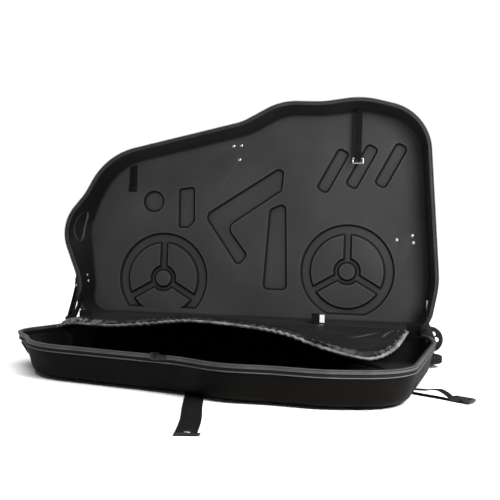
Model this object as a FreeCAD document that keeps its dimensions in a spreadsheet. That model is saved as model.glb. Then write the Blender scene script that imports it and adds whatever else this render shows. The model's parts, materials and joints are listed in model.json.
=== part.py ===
import FreeCAD, Part
import math
import os

from FreeCAD import Placement, Rotation, Vector

# Clam-shell travel case for a bicycle, lying open: the front half rests on its outer face,
# the back half stands up on the hinge and leans back against its two stay straps.
#
# Each half is drawn upright about the hinge line, with X along the case, Z up from the hinge
# (the case's height) and the depth measured from the rim plane, along +Y for the back half and
# along -Y for the front half. The half's Placement then leans it back or lays it down.

doc = FreeCAD.newDocument("bicycle_travel_case")
sheet = doc.addObject("Spreadsheet::Sheet", "sizes")

SIZES = (
    # Outline of the rim, from the hinge line up
    ("case_length", 1180.0),
    ("case_height", 710.0),
    ("bottom_left_set", 34.0),
    ("bottom_right_set", 29.0),
    ("bottom_corner", 75.0),
    ("tail_bulge_set", 2.0),
    ("tail_bulge_height", 150.0),
    ("tail_bulge_round", 260.0),
    ("top_corner_set", 44.0),
    ("top_corner_drop", 46.0),
    ("top_corner", 155.0),
    ("crest_set", 245.0),
    ("crest_rise", 3.0),
    ("crest_round", 260.0),
    ("dip_set", 365.0),
    ("dip_drop", 14.0),
    ("dip_round", 300.0),
    ("saddle_set", 497.0),
    ("saddle_drop", 11.0),
    ("saddle_round", 190.0),
    ("ramp_set", 617.0),
    ("ramp_drop", 76.0),
    ("ramp_round", 160.0),
    ("shoulder_set", 120.0),
    ("shoulder_drop", 183.0),
    ("shoulder_round", 215.0),
    ("brow_set", 54.0),
    ("brow_round", 220.0),
    ("nose_reach", 30.0),
    ("nose_round", 128.0),
    ("nose_draw", 52.0),
    ("waist_set", 44.0),
    ("waist_height", 120.0),
    ("waist_round", 130.0),
    # Shell section, measured inward from the outline and down from the rim plane
    ("rim_gap", 0.8),
    ("rim_inset", 4.0),
    ("wall_inset", 22.0),
    ("straight_depth", 20.0),
    ("shell_depth", 92.0),
    ("shell_wall", 6.0),
    ("edge_round", 22.0),
    ("relief_height", 7.0),
    ("relief_grow", 2.5),
    ("motif_radius", 148.0),
    ("motif_inner", 112.0),
    ("motif_hub", 44.0),
    ("motif_cap", 24.0),
    ("spoke_width", 28.0),
    ("lean_angle", 5.0),
    # Rim trim
    ("binding_depth", 9.5),
    ("tape_depth", 19.0),
    ("tape_thick", 1.6),
    ("coil_height", 2.0),
    ("coil_start", 1.0),
    ("coil_depth", 3.2),
    # Hinge
    ("cord_radius", 2.5),
    ("cord_clear", 0.05),
    ("knuckle_radius", 3.7),
    ("hinge_left_gap", 130.0),
    ("hinge_right_gap", 140.0),
    ("knuckle_gap", 0.6),
    ("tape_sheet", 1.4),
    ("divider_sheet", 1.0),
    # Zip slider
    ("slider_length", 26.0),
    ("slider_width", 18.0),
    ("slider_plate", 3.0),
    ("slider_clear", 0.4),
    ("pull_length", 36.0),
    ("pull_width", 12.0),
    ("pull_thick", 2.0),
    ("pull_pin", 1.2),
    # Divider pad
    ("pad_thick", 16.0),
    ("pad_edge", 7.0),
    ("pad_start", 16.0),
    ("pad_bind", 6.0),
    # Wheels
    ("wheel_radius", 39.5),
    ("wheel_width", 24.0),
    ("wheel_depth", 75.0),
    ("tyre_wall", 10.0),
    ("tyre_round", 6.0),
    ("axle_radius", 4.0),
    ("axle_head", 7.0),
    ("axle_head_thick", 3.0),
    ("shaft_clear", 0.06),
    ("side_clear", 0.4),
    ("ear_thick", 4.0),
    ("ear_radius", 16.0),
    ("guard_inset", 9.0),
    ("spoke_hole", 7.6),
    ("spoke_holes", 6.0),
    # Stay straps
    ("left_stay_set", 56.0),
    ("right_stay_set", 33.0),
    ("stay_reach", 85.0),
    ("stay_depth", 14.0),
    ("stay_block", 18.0),
    ("stay_block_reach", 16.0),
    # Webbing
    ("web_thick", 1.8),
    ("narrow_web", 20.0),
    ("web_width", 25.0),
    ("wide_web", 50.0),
    ("wide_web_thick", 2.2),
    ("wide_length", 478.0),
    # End handle
    ("grip_pin", 3.0),
    ("loop_length", 112.0),
    ("loop_wall", 3.0),
    ("loop_width", 26.0),
    ("grip_radius", 9.0),
    # Shoulder strap rings and rivets
    ("plate_thick", 2.5),
    ("rivet_radius", 2.4),
    ("rivet_head", 6.0),
    ("rivet_head_thick", 2.2),
    ("rivet_seat_gap", 0.5),
    ("hole_clear", 0.05),
    ("dee_radius", 17.0),
    ("dee_wire", 2.5),
    ("ring_wire", 1.8),
    ("ring_width", 32.0),
    ("ring_height", 15.0),
    # Side-release buckle
    ("buckle_width", 32.0),
    ("buckle_height", 9.6),
    ("socket_length", 39.0),
    ("plug_bar", 16.0),
    ("prong_length", 26.0),
    ("prong_width", 5.0),
    ("buckle_clear", 0.4),
)

for row, (alias, value) in enumerate(SIZES, start=1):
    sheet.set("A%d" % row, alias.replace("_", " "))
    sheet.set("B%d" % row, str(value))
    sheet.setAlias("B%d" % row, alias)
doc.recompute()


def size(alias):
    return float(sheet.get(alias))


half_length = size("case_length") / 2
height = size("case_height")
rim_gap = size("rim_gap")
rim_inset = size("rim_inset")
wall = size("shell_wall")
shell_depth = size("shell_depth")
inner_depth = shell_depth - wall
relief = size("relief_height")
full_depth = shell_depth + relief
straight = size("straight_depth")
web = size("web_thick")

# The front half lies on the raised pattern of its outer face, so the hinge is one full depth up.
hinge = Vector(0, 0, full_depth)
BACK = Placement(hinge, Rotation(Vector(1, 0, 0), -size("lean_angle")))
FRONT = Placement(hinge, Rotation(Vector(1, 0, 0), 90))

nodes = []


def keep(obj, label, place, local=None):
    """Name a finished sub-part and put it on its half of the case."""
    obj.Label = label
    obj.Placement = place.multiply(local) if local else place
    nodes.append(obj)
    return obj


def feature(shape, label, place, local=None):
    obj = doc.addObject("Part::Feature", label)
    obj.Shape = shape
    own = shape.Placement
    return keep(obj, label, place, local.multiply(own) if local else own)


def box(name, length, width, depth, base, turn=None):
    """Part::Box whose three sizes are spreadsheet expressions."""
    obj = doc.addObject("Part::Box", name)
    obj.setExpression("Length", length)
    obj.setExpression("Width", width)
    obj.setExpression("Height", depth)
    obj.Placement = Placement(base, turn or Rotation())
    return obj


ALONG_X = Rotation(Vector(0, 1, 0), 90)
ALONG_Y = Rotation(Vector(1, 0, 0), -90)


def cylinder(name, radius, length, base, turn=None):
    obj = doc.addObject("Part::Cylinder", name)
    obj.setExpression("Radius", radius)
    obj.setExpression("Height", length)
    obj.Placement = Placement(base, turn or Rotation())
    return obj


def solid(shape):
    """The one solid of a boolean result."""
    return shape.Solids[0] if len(shape.Solids) == 1 else shape


def mirrored(shape):
    """The front half's copy of a shape drawn for the back half."""
    return shape.mirror(Vector(0, 0, 0), Vector(0, 1, 0))


# Rounded polygons

def fitted_radii(corners):
    """Corner radii, drawn in where two neighbouring arcs would not fit on the side between them."""
    count = len(corners)
    sides = []
    for i in range(count):
        (x0, z0, _), (x1, z1, _) = corners[i], corners[(i + 1) % count]
        sides.append((x1 - x0, z1 - z0))
    reaches = []
    for i in range(count):
        (ax, az), (bx, bz) = sides[i - 1], sides[i]
        turn = abs(math.atan2(ax * bz - az * bx, ax * bx + az * bz))
        reaches.append(corners[i][2] * math.tan(turn / 2))
    radii = []
    for i in range(count):
        before = math.hypot(*sides[i - 1]) / (reaches[i - 1] + reaches[i])
        after = math.hypot(*sides[i]) / (reaches[i] + reaches[(i + 1) % count])
        radii.append(corners[i][2] * min(1, 0.98 * before, 0.98 * after))
    return radii


def rounded_points(corners, inset):
    """Start, middle and end of each corner's arc, with the outline moved inward by inset."""
    count = len(corners)
    radii = fitted_radii(corners)
    lines = []
    for i in range(count):
        (x0, z0, _), (x1, z1, _) = corners[i], corners[(i + 1) % count]
        run = math.hypot(x1 - x0, z1 - z0)
        dx, dz = (x1 - x0) / run, (z1 - z0) / run
        lines.append((x0 - inset * dz, z0 + inset * dx, dx, dz))
    arcs = []
    for i in range(count):
        ax, az, adx, adz = lines[i - 1]
        bx, bz, bdx, bdz = lines[i]
        cross = adx * bdz - adz * bdx
        along = ((bx - ax) * bdz - (bz - az) * bdx) / cross
        px, pz = ax + along * adx, az + along * adz
        turn = abs(math.atan2(cross, adx * bdx + adz * bdz))
        side = 1 if cross > 0 else -1
        radius = radii[i] - side * inset
        reach = radius * math.tan(turn / 2)
        sx, sz = px - reach * adx, pz - reach * adz
        cx, cz = sx - side * radius * adz, sz + side * radius * adx
        pull = radius / math.hypot(px - cx, pz - cz)
        middle = (cx + (px - cx) * pull, cz + (pz - cz) * pull)
        arcs.append(((sx, sz), middle, (px + reach * bdx, pz + reach * bdz)))
    return arcs


def rounded_wire(corners, inset, depth):
    """Closed wire of tangent lines and arcs in the plane Y = depth."""
    def point(at):
        return Vector(at[0], depth, at[1])

    arcs = rounded_points(corners, inset)
    edges = []
    for i, (start, middle, end) in enumerate(arcs):
        edges.append(Part.Arc(point(start), point(middle), point(end)).toShape())
        edges.append(Part.LineSegment(point(end), point(arcs[(i + 1) % len(arcs)][0])).toShape())
    return Part.Wire(edges)


def prism(corners, inset, start, end):
    return Part.Face(rounded_wire(corners, inset, start)).extrude(Vector(0, end - start, 0))


def taper(corners, inset_start, start, inset_end, end):
    wires = [rounded_wire(corners, inset_start, start), rounded_wire(corners, inset_end, end)]
    return Part.makeLoft(wires, True, True)


# Rim outline, counter-clockwise from the bottom left: bottom, tail, top and nose
NOSE_SHARE = 0.4423
BROW_SHARE = 0.6929
waist_height = size("waist_height")
shoulder_height = height - size("shoulder_drop")
nose_height = waist_height + NOSE_SHARE * (shoulder_height - waist_height)
brow_height = waist_height + BROW_SHARE * (shoulder_height - waist_height)
ramp_foot = (half_length - size("ramp_set"), height - size("ramp_drop"), size("ramp_round"))
shoulder = (-half_length + size("shoulder_set"), shoulder_height, size("shoulder_round"))
OUTLINE = (
    (-half_length + size("bottom_left_set"), 0.0, size("bottom_corner")),
    (half_length - size("bottom_right_set"), 0.0, size("bottom_corner")),
    (half_length - size("tail_bulge_set"), size("tail_bulge_height"), size("tail_bulge_round")),
    (half_length - size("top_corner_set"), height - size("top_corner_drop"), size("top_corner")),
    (half_length - size("crest_set"), height + size("crest_rise"), size("crest_round")),
    (half_length - size("dip_set"), height - size("dip_drop"), size("dip_round")),
    (half_length - size("saddle_set"), height - size("saddle_drop"), size("saddle_round")),
    ramp_foot,
    shoulder,
    (-half_length + size("brow_set"), brow_height, size("brow_round")),
    (-half_length - size("nose_reach"), nose_height, size("nose_round")),
    (-half_length + size("waist_set"), waist_height, size("waist_round")),
)
# Foot of the wall: as the rim, with the nose drawn in, so that the rim stands out there as a lip
FOOT = (
    OUTLINE[:-2]
    + ((OUTLINE[-2][0] + size("nose_draw"), nose_height, size("nose_round")),)
    + OUTLINE[-1:]
)


def tray(offset, start, depth, edge_round):
    """Solid tray: straight rim, drafted wall and a rolled edge round the face."""
    rim = size("rim_inset") + offset
    foot = size("wall_inset") + offset
    wires = [rounded_wire(OUTLINE, rim, straight), rounded_wire(FOOT, foot, depth)]
    body = prism(OUTLINE, rim, start, straight).fuse(Part.makeLoft(wires, True, True))
    edges = []
    for edge in body.Edges:
        bounds = edge.BoundBox
        if bounds.YMin > depth - 0.01:
            edges.append(edge)
    return body.makeFillet(edge_round, edges)


outer_tray = tray(0, rim_gap, shell_depth, size("edge_round"))
inner_tray = tray(wall, -1.0, inner_depth, size("edge_round") - wall)

# Moulded pattern: two spoked discs, a chevron, a centre panel, a band, a dimple and three slashes.
# The middle pieces are drawn from the foot of the ramp, in shares of the height up from the hinge.
DRAWN_RAMP = -27.0
DRAWN_HEIGHT = 710.0


def drawn(corners):
    """Corners of a middle piece, moved with the ramp's foot and spread over the case's height."""
    across = ramp_foot[0] - DRAWN_RAMP
    return tuple((u + across, v * height / DRAWN_HEIGHT, round) for u, v, round in corners)


LEFT_DISC = (-half_length + 300.0, 140.0)
RIGHT_DISC = (half_length - 286.0, 180.0)
DIMPLE = (-half_length + 259.0, height - 322.0, 36.0)
CHEVRON = drawn((
    (-45.0, 181.0, 16.0),
    (-12.0, 222.0, 16.0),
    (-80.0, 310.0, 22.0),
    (92.0, 428.0, 18.0),
    (98.0, 516.0, 18.0),
    (-163.0, 347.0, 26.0),
))
PANEL = drawn((
    (36.0, 113.0, 18.0),
    (118.0, 113.0, 18.0),
    (106.0, 396.0, 18.0),
    (50.0, 370.0, 18.0),
))
BAND = drawn((
    (-246.0, 303.0, 10.0),
    (-212.0, 303.0, 10.0),
    (-190.0, 326.0, 10.0),
    (-194.0, 440.0, 12.0),
    (-250.0, 432.0, 12.0),
))
SLASH_LENGTH = 150.0
SLASH_WIDTH = 44.0
SLASH_ANGLE = 62.0
SLASHES = (
    (half_length - 340, height - 216),
    (half_length - 250, height - 202),
    (half_length - 160, height - 198),
)


def slash(centre):
    lean = math.radians(SLASH_ANGLE)
    along = (math.cos(lean) * SLASH_LENGTH / 2, math.sin(lean) * SLASH_LENGTH / 2)
    side = (math.sin(lean) * SLASH_WIDTH / 2, -math.cos(lean) * SLASH_WIDTH / 2)
    corners = []
    for a, s in ((-1, -1), (-1, 1), (1, 1), (1, -1)):
        corners.append((centre[0] + a * along[0] + s * side[0],
                        centre[1] + a * along[1] + s * side[1], 16.0))
    return tuple(corners)


def sector(centre, angle):
    """Triangle between two neighbouring spokes, wider than the disc."""
    back = size("spoke_width") / 2 / math.sin(math.radians(60))
    mid = math.radians(angle)
    tip = (centre[0] + back * math.cos(mid), centre[1] + back * math.sin(mid), 12.0)
    corners = [tip]
    for turn in (-60, 60):
        way = math.radians(angle + turn)
        corners.append((tip[0] + 400 * math.cos(way), tip[1] + 400 * math.sin(way), 12.0))
    return tuple(corners)


def cone(centre, radius_start, start, radius_end, end):
    return Part.makeCone(radius_start, radius_end, end - start,
                         Vector(centre[0], start, centre[1]), Vector(0, 1, 0))


def pattern(face, grow):
    """Raised pattern standing on the face at this depth, with sides sloping at 45 degrees."""
    top = face + relief
    shapes = [cone(DIMPLE, DIMPLE[2] + grow, face, DIMPLE[2] + grow - relief, top)]
    for corners in (CHEVRON, PANEL, BAND) + tuple(slash(centre) for centre in SLASHES):
        shapes.append(taper(corners, -grow, face, relief - grow, top))
    for centre in (LEFT_DISC, RIGHT_DISC):
        rim = size("motif_radius") + grow
        disc = cone(centre, rim, face, rim - relief, top)
        inner = size("motif_inner") - grow
        hub = size("motif_hub") + grow
        for angle in (30, 150, 270):
            island = taper(sector(centre, angle), grow, face, grow - relief, top)
            island = island.common(cone(centre, inner, face, inner + relief, top))
            island = island.cut(cone(centre, hub, face, hub - relief, top))
            disc = disc.cut(island)
        cap = size("motif_cap") - grow
        disc = disc.cut(cone(centre, cap, face, cap + relief, top))
        # The disc stops short of the rolled edge along the bottom.
        disc = disc.common(taper(OUTLINE, FLAT_INSET - grow, face, FLAT_INSET + relief - grow, top))
        shapes.append(disc)
    return shapes


FLAT_INSET = size("wall_inset") + size("edge_round")


# Rivets through the back face: two triangles of three for the shoulder-strap rings
RIVETS_A = (
    (ramp_foot[0] - 45, ramp_foot[1] - 63),
    (ramp_foot[0] - 20, ramp_foot[1] - 61),
    (ramp_foot[0] - 24, ramp_foot[1] - 107),
)
RIVETS_B = ((half_length - 136, 282.0), (half_length - 89, 296.0), (half_length - 85, 274.0))

# End handle on the nose's waist, and the two rivets that hold its bracket to the wall
HANDLE_PIN = (-half_length + 26, waist_height - 12)
HANDLE_START = 33.0
HANDLE_RIVETS = (HANDLE_PIN[1] + 15, HANDLE_PIN[1] + 34)
handle_middle = HANDLE_START + size("loop_width") / 2


def wall_place(body, across, up):
    """Where a level line along the case first enters this tray."""
    start = Vector(-2 * half_length, across, up)
    line = Part.LineSegment(start, Vector(0, across, up)).toShape()
    return line.common(body).BoundBox.XMin


def handle_shanks(radius):
    drills = []
    for up in HANDLE_RIVETS:
        drills.append(Part.makeCylinder(radius, 80, Vector(HANDLE_PIN[0] - 20, handle_middle, up),
                                        Vector(1, 0, 0)))
    return drills


def shanks(places, radius):
    drills = []
    for u, v in places:
        drills.append(Part.makeCylinder(radius, full_depth, Vector(u, 0, v), Vector(0, 1, 0)))
    return drills


# Oval recess in the nose's wall: there the wall itself is pressed outward
OVAL_DEPTH = 48.0
OVAL_HEIGHT = 54.0
OVAL_WIDTH = 22.0
OVAL_PRESS = 5.0


def oval(pressed, shrink):
    """The part of a pressed-out tray that lies within the oval, whose sides draw in outward."""
    wires = []
    for start, draw in ((-half_length + 60, 0), (-half_length - 20, OVAL_WIDTH / 3)):
        tall = OVAL_HEIGHT - draw - shrink
        flat = OVAL_WIDTH - draw - shrink
        edge = Part.Ellipse(Vector(0, 0, 0), tall, flat).toShape()
        edge.Placement = Placement(Vector(start, OVAL_DEPTH, nose_height), ALONG_X)
        wires.append(Part.Wire([edge]))
    return pressed.common(Part.makeLoft(wires, True, True))


pressed_outer = tray(-OVAL_PRESS, rim_gap, shell_depth, size("edge_round"))
pressed_inner = tray(wall - OVAL_PRESS, rim_gap, inner_depth, size("edge_round") - wall)
shell = outer_tray.fuse(pattern(shell_depth, size("relief_grow")) + [oval(pressed_outer, 0)])
shell = shell.cut([inner_tray, oval(pressed_inner, wall / 2)] + pattern(inner_depth, 0))
front_shell = solid(mirrored(shell))
drill_radius = size("rivet_radius") + size("hole_clear")
drills = shanks(RIVETS_A + RIVETS_B, drill_radius) + handle_shanks(drill_radius)
back_shell = solid(shell.cut(drills))
feature(back_shell, "back_shell", BACK)
feature(front_shell, "front_shell", FRONT)

# Rim trim: binding, zip tape and zip coil run round the rim and stop above the bottom edge
TRIM_END = 12.0
hinge_left = -half_length + size("hinge_left_gap")
hinge_right = half_length - size("hinge_right_gap")


def ring(outer, inner, start, end):
    band = prism(OUTLINE, outer, start, end).cut(prism(OUTLINE, inner, start, end))
    notch = Part.makeBox(4 * half_length, 40, 20 + TRIM_END, Vector(-2 * half_length, -1, -20))
    return solid(band.cut(notch))


binding_end = size("binding_depth")
tape_end = size("tape_depth")
coil = size("coil_height")
trim = (
    ("rim_binding", ring(0, rim_inset, rim_gap, binding_end)),
    ("zip_tape", ring(rim_inset - size("tape_thick"), rim_inset, binding_end, tape_end)),
    ("zip_coil", ring(-coil, 0, size("coil_start"), size("coil_depth"))),
)
for name, shape in trim:
    feature(shape, "back_" + name, BACK)
    feature(mirrored(shape), "front_" + name, FRONT)

# Hinge: a cord along the bottom edge, held in turn by loops of the front, back and divider tapes
KNUCKLES = 12
pitch = (hinge_right - hinge_left) / KNUCKLES
knuckle = size("knuckle_radius")
bore = size("cord_radius") + size("cord_clear")
sheet_thick = size("tape_sheet")

cord = cylinder("hinge_cord_rod", "sizes.cord_radius",
                "sizes.case_length - sizes.hinge_left_gap - sizes.hinge_right_gap",
                Vector(hinge_left, 0, 0), ALONG_X)
keep(cord, "hinge_cord", FRONT, cord.Placement)


def loops(turn, arm):
    """Every third loop round the cord, each with an arm to its own tape."""
    gap = size("knuckle_gap")
    parts = []
    for i in range(turn, KNUCKLES, 3):
        start = hinge_left + i * pitch + gap / 2
        span = pitch - gap
        parts.append(Part.makeCylinder(knuckle, span, Vector(start, 0, 0), Vector(1, 0, 0)))
        depth_start, depth_end, low, high = arm
        parts.append(Part.makeBox(span, depth_end - depth_start, high - low,
                                  Vector(start, depth_start, low)))
    return parts


def hinge_tape(turn, arm, strip):
    depth_start, depth_end, low, high = strip
    body = Part.makeBox(hinge_right - hinge_left, depth_end - depth_start, high - low,
                        Vector(hinge_left, depth_start, low))
    body = body.fuse(loops(turn, arm))
    drill = Part.makeCylinder(bore, hinge_right - hinge_left + 2, Vector(hinge_left - 1, 0, 0),
                              Vector(1, 0, 0))
    return solid(body.cut(drill))


strip_low = rim_inset - sheet_thick
arm = (1.5, knuckle + 0.6, strip_low, rim_inset)
strip = (knuckle + 0.2, straight, strip_low, rim_inset)
feature(hinge_tape(0, arm, strip), "back_hinge_tape", BACK)
feature(mirrored(hinge_tape(1, arm, strip)), "front_hinge_tape", FRONT)

# Divider: its tape lies in the gap between the two rims
half_sheet = size("divider_sheet") / 2
pad_start = size("pad_start")
divider_arm = (-half_sheet, half_sheet, bore, knuckle + 1.0)
divider_strip = (-half_sheet, half_sheet, knuckle + 0.5, pad_start)
feature(hinge_tape(2, divider_arm, divider_strip), "divider_tape", FRONT)

# Divider pad: share of the hinge's length, share of the case's height, and rise of the free edge
pad_thick = size("pad_thick")
pad_edge = size("pad_edge")
PAD_SHARES = (
    (-0.044, 0.363, 4.0),
    (0.033, 0.430, 22.0),
    (0.179, 0.521, 30.0),
    (0.311, 0.563, 44.0),
    (0.440, 0.606, 60.0),
    (0.593, 0.648, 58.0),
    (0.736, 0.704, 48.0),
    (0.846, 0.768, 25.0),
    (0.945, 0.806, 9.0),
    (1.000, 0.789, 6.0),
    (1.044, 0.662, 18.0),
    (1.067, 0.423, 38.0),
)
PAD_STATIONS = []
for along, reach, rise in PAD_SHARES:
    PAD_STATIONS.append((hinge_left + along * (hinge_right - hinge_left), reach * height, rise))


def pad_section(station):
    """Crowned section across the pad: two shallow arcs closed by the two edges."""
    u, reach, rise = station
    inner = half_sheet + pad_edge / 2 - size("divider_sheet") / 2
    middle = (pad_start + reach) / 2
    lift = inner + rise * 0.62
    full = pad_thick / 2 if hinge_left < u < hinge_right else pad_edge / 2 + 2
    near_top = Vector(u, inner + pad_edge / 2, pad_start)
    near_low = Vector(u, inner - pad_edge / 2, pad_start)
    far_top = Vector(u, inner + rise + pad_edge / 2, reach)
    far_low = Vector(u, inner + rise - pad_edge / 2, reach)
    top = Part.Arc(near_top, Vector(u, lift + full, middle), far_top).toShape()
    low = Part.Arc(far_low, Vector(u, lift - full, middle), near_low).toShape()
    return Part.Wire([top, Part.LineSegment(far_top, far_low).toShape(), low,
                      Part.LineSegment(near_low, near_top).toShape()])


def binding_section(station):
    """Section of the edge binding, which starts inside the pad's edge and is cut back to it."""
    u, reach, rise = station
    reach = reach - 3
    centre = half_sheet + pad_edge / 2 - size("divider_sheet") / 2 + rise
    top = centre + pad_edge / 2
    low = centre - pad_edge / 2
    end = reach + 3 + size("pad_bind")
    return Part.makePolygon([Vector(u, low, reach), Vector(u, top, reach), Vector(u, top, end),
                             Vector(u, low, end), Vector(u, low, reach)])


pad = Part.makeLoft([pad_section(s) for s in PAD_STATIONS], True, False)
feature(pad, "divider_pad", FRONT)
binding = Part.makeLoft([binding_section(s) for s in PAD_STATIONS], True, False).cut(pad)
feature(max(binding.Solids, key=lambda item: item.Volume), "divider_binding", FRONT)

# Zip slider, parked at the upper end of the long straight stretch of the front half's rim
SLIDER_BACKSET = 60.0
run = math.hypot(ramp_foot[0] - shoulder[0], ramp_foot[1] - shoulder[1])
slope = math.degrees(math.atan2(ramp_foot[1] - shoulder[1], ramp_foot[0] - shoulder[0]))
share = 1 - SLIDER_BACKSET / run
slider_at = Vector(shoulder[0] + (ramp_foot[0] - shoulder[0]) * share, 0,
                   shoulder[1] + (ramp_foot[1] - shoulder[1]) * share)
SLIDER = Placement(slider_at, Rotation(Vector(0, 1, 0), -slope))
clear = size("slider_clear")
plate_low = coil + clear
plate_top = plate_low + size("slider_plate")
pin_height = plate_top + 3.8
slider_length = size("slider_length")
plate_back = -size("slider_width") * 2 / 3
post = 2.0
pull_hub = 3.4
pin_back = -3 - pull_hub / 2 - post - 0.3
pin_front = -3 + pull_hub / 2 + post + 0.3

slider = Part.makeBox(slider_length, size("slider_width"), size("slider_plate"),
                      Vector(-slider_length / 2, plate_back, plate_low))
foot_start = -size("coil_depth") - clear
slider = slider.fuse([
    Part.makeBox(slider_length, 2.6, coil, Vector(-slider_length / 2, foot_start - 2.6, clear)),
    Part.makeBox(8, post, 7, Vector(-4, pin_back, plate_top)),
    Part.makeBox(8, post, 7, Vector(-4, pin_front - post, plate_top)),
    Part.makeCylinder(size("pull_pin"), pin_front - pin_back, Vector(0, pin_back, pin_height),
                      Vector(0, 1, 0)),
])
feature(solid(slider), "zip_slider", FRONT, SLIDER)

pull_thick = size("pull_thick")
hub_back = -3 - pull_hub / 2
pull = Part.makeCylinder(3.0, pull_hub, Vector(0, hub_back, pin_height), Vector(0, 1, 0))
pull = pull.fuse([
    Part.makeBox(9, pull_hub, pull_thick, Vector(0, hub_back, pin_height - pull_thick / 2)),
    Part.makeBox(size("pull_length") - 8, size("pull_width"), pull_thick,
                 Vector(8, -3 - size("pull_width") / 2, pin_height - pull_thick / 2)),
])
pull = pull.cut(Part.makeCylinder(size("pull_pin") + size("shaft_clear"), 30,
                                  Vector(0, -18, pin_height), Vector(0, 1, 0)))
feature(solid(pull), "zip_pull", FRONT, SLIDER)

# Wheels at the tail's bottom corner, one in each half
WHEEL = (half_length - 27, -18.0)
corner_centre = (half_length - 92, 75.0)
wheel_radius = size("wheel_radius")
wheel_start = size("wheel_depth") - size("wheel_width") / 2
wheel_end = wheel_start + size("wheel_width")
ear = size("ear_thick")
ear_gap = 3.0
near_ear = wheel_start - ear_gap - ear
far_ear = wheel_end + ear_gap
axle_radius = size("axle_radius")


def bracket():
    """Corner guard seated on the wall, with an ear on each side of the wheel."""
    way = (WHEEL[0] - corner_centre[0], WHEEL[1] - corner_centre[1])
    run = math.hypot(*way)
    way = (way[0] / run, way[1] / run)
    ear_radius = size("ear_radius")
    corners = []
    for back, side in ((0, ear_radius), (95, 36), (95, -36), (0, -ear_radius)):
        corners.append((WHEEL[0] - back * way[0] - side * way[1],
                        WHEEL[1] - back * way[1] + side * way[0]))
    guard = prism(OUTLINE, size("guard_inset"), near_ear, far_ear + ear)
    guard = guard.common(Part.makeBox(140, 200, 140, Vector(corner_centre[0], 0, -70)))
    pieces = []
    for start in (near_ear, far_ear):
        points = [Vector(x, start, z) for x, z in corners]
        plate = Part.Face(Part.makePolygon(points + points[:1])).extrude(Vector(0, ear, 0))
        lug = Part.makeCylinder(ear_radius, ear, Vector(WHEEL[0], start, WHEEL[1]),
                                Vector(0, 1, 0))
        pieces.append(plate.fuse(lug))
    body = guard.fuse(pieces).cut(outer_tray)
    drill = Part.makeCylinder(axle_radius + size("shaft_clear"), 200,
                              Vector(WHEEL[0], 0, WHEEL[1]), Vector(0, 1, 0))
    return max(body.cut(drill).Solids, key=lambda item: item.Volume)


def tyre():
    """Solid tread with rounded shoulders, turned about the axle."""
    ring = Part.makeCylinder(wheel_radius, size("wheel_width"), Vector(0, 0, 0), Vector(0, 1, 0))
    rims = [e for e in ring.Edges if e.Curve.TypeId == "Part::GeomCircle"]
    ring = ring.makeFillet(size("tyre_round"), rims)
    bore = Part.makeCylinder(wheel_radius - size("tyre_wall"), size("wheel_width"),
                             Vector(0, 0, 0), Vector(0, 1, 0))
    return ring.cut(bore)


def hub():
    """Hub disc with a ring of round windows and a boss that reaches to the ears."""
    web_radius = wheel_radius - size("tyre_wall")
    boss_start = -ear_gap + size("side_clear")
    boss_end = size("wheel_width") + ear_gap - size("side_clear")
    disc = Part.makeCylinder(web_radius, size("wheel_width") - 4, Vector(0, 2, 0), Vector(0, 1, 0))
    disc = disc.fuse(Part.makeCylinder(axle_radius + 4.5, boss_end - boss_start,
                                       Vector(0, boss_start, 0), Vector(0, 1, 0)))
    drills = [Part.makeCylinder(axle_radius + size("shaft_clear"), 200, Vector(0, -100, 0),
                                Vector(0, 1, 0))]
    count = int(size("spoke_holes"))
    for i in range(count):
        turn = 2 * math.pi * i / count
        at = (axle_radius + 4.5 + web_radius) / 2
        drills.append(Part.makeCylinder(size("spoke_hole"), 200,
                                        Vector(at * math.cos(turn), -100, at * math.sin(turn)),
                                        Vector(0, 1, 0)))
    return solid(disc.cut(drills))


def axle():
    head = size("axle_head_thick")
    start = near_ear - head
    end = far_ear + ear + head
    rod = Part.makeCylinder(axle_radius, end - start, Vector(0, start, 0), Vector(0, 1, 0))
    return solid(rod.fuse([
        Part.makeCylinder(size("axle_head"), head, Vector(0, start, 0), Vector(0, 1, 0)),
        Part.makeCylinder(size("axle_head"), head, Vector(0, end - head, 0), Vector(0, 1, 0)),
    ]))


wheel_place = Placement(Vector(WHEEL[0], 0, WHEEL[1]), Rotation())
wheel_seat = Placement(Vector(0, wheel_start, 0), Rotation())
wheel_pieces = (
    ("wheel_tyre", tyre().transformed(wheel_seat.toMatrix())),
    ("wheel_hub", hub().transformed(wheel_seat.toMatrix())),
    ("wheel_axle", axle()),
)
bracket_shape = bracket()
feature(bracket_shape, "back_wheel_bracket", BACK)
feature(mirrored(bracket_shape), "front_wheel_bracket", FRONT)
for name, shape in wheel_pieces:
    feature(shape, "back_" + name, BACK, wheel_place)
    feature(mirrored(shape), "front_" + name, FRONT, wheel_place)

# Stay straps that stop the back half, flat against the two end walls inside
stay_reach = size("stay_reach")
stay_depth = size("stay_depth")
stay_width = size("web_width")
lean = math.radians(size("lean_angle"))
stay_top = Vector(0, stay_reach * math.sin(lean) + stay_depth * math.cos(lean),
                  stay_reach * math.cos(lean) - stay_depth * math.sin(lean))
stay_foot = Vector(0, -stay_reach, -stay_depth)
STAYS = (
    ("left", -half_length + size("left_stay_set"), -1),
    ("right", half_length - size("right_stay_set"), 1),
)


def stay(u):
    way = stay_top - stay_foot
    run = way.Length
    half = stay_width / 2
    strap = Part.makeBox(web, stay_width, run + stay_width, Vector(-web / 2, -half, -half))
    tilt = math.degrees(math.atan2(-way.y, way.z))
    strap.Placement = Placement(stay_foot + Vector(u, 0, 0), Rotation(Vector(1, 0, 0), tilt))
    return strap


def stay_tab(u, side):
    """Sewn block between the strap's end and the end wall."""
    start = u + side * web / 2
    reach = size("stay_block_reach")
    thick = size("stay_block")
    low = min(start, start + side * reach)
    block = Part.makeBox(reach, thick, thick,
                         Vector(low, stay_depth - thick / 2, stay_reach - thick / 2))
    return max(block.common(inner_tray).Solids, key=lambda item: item.Volume)


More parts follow.
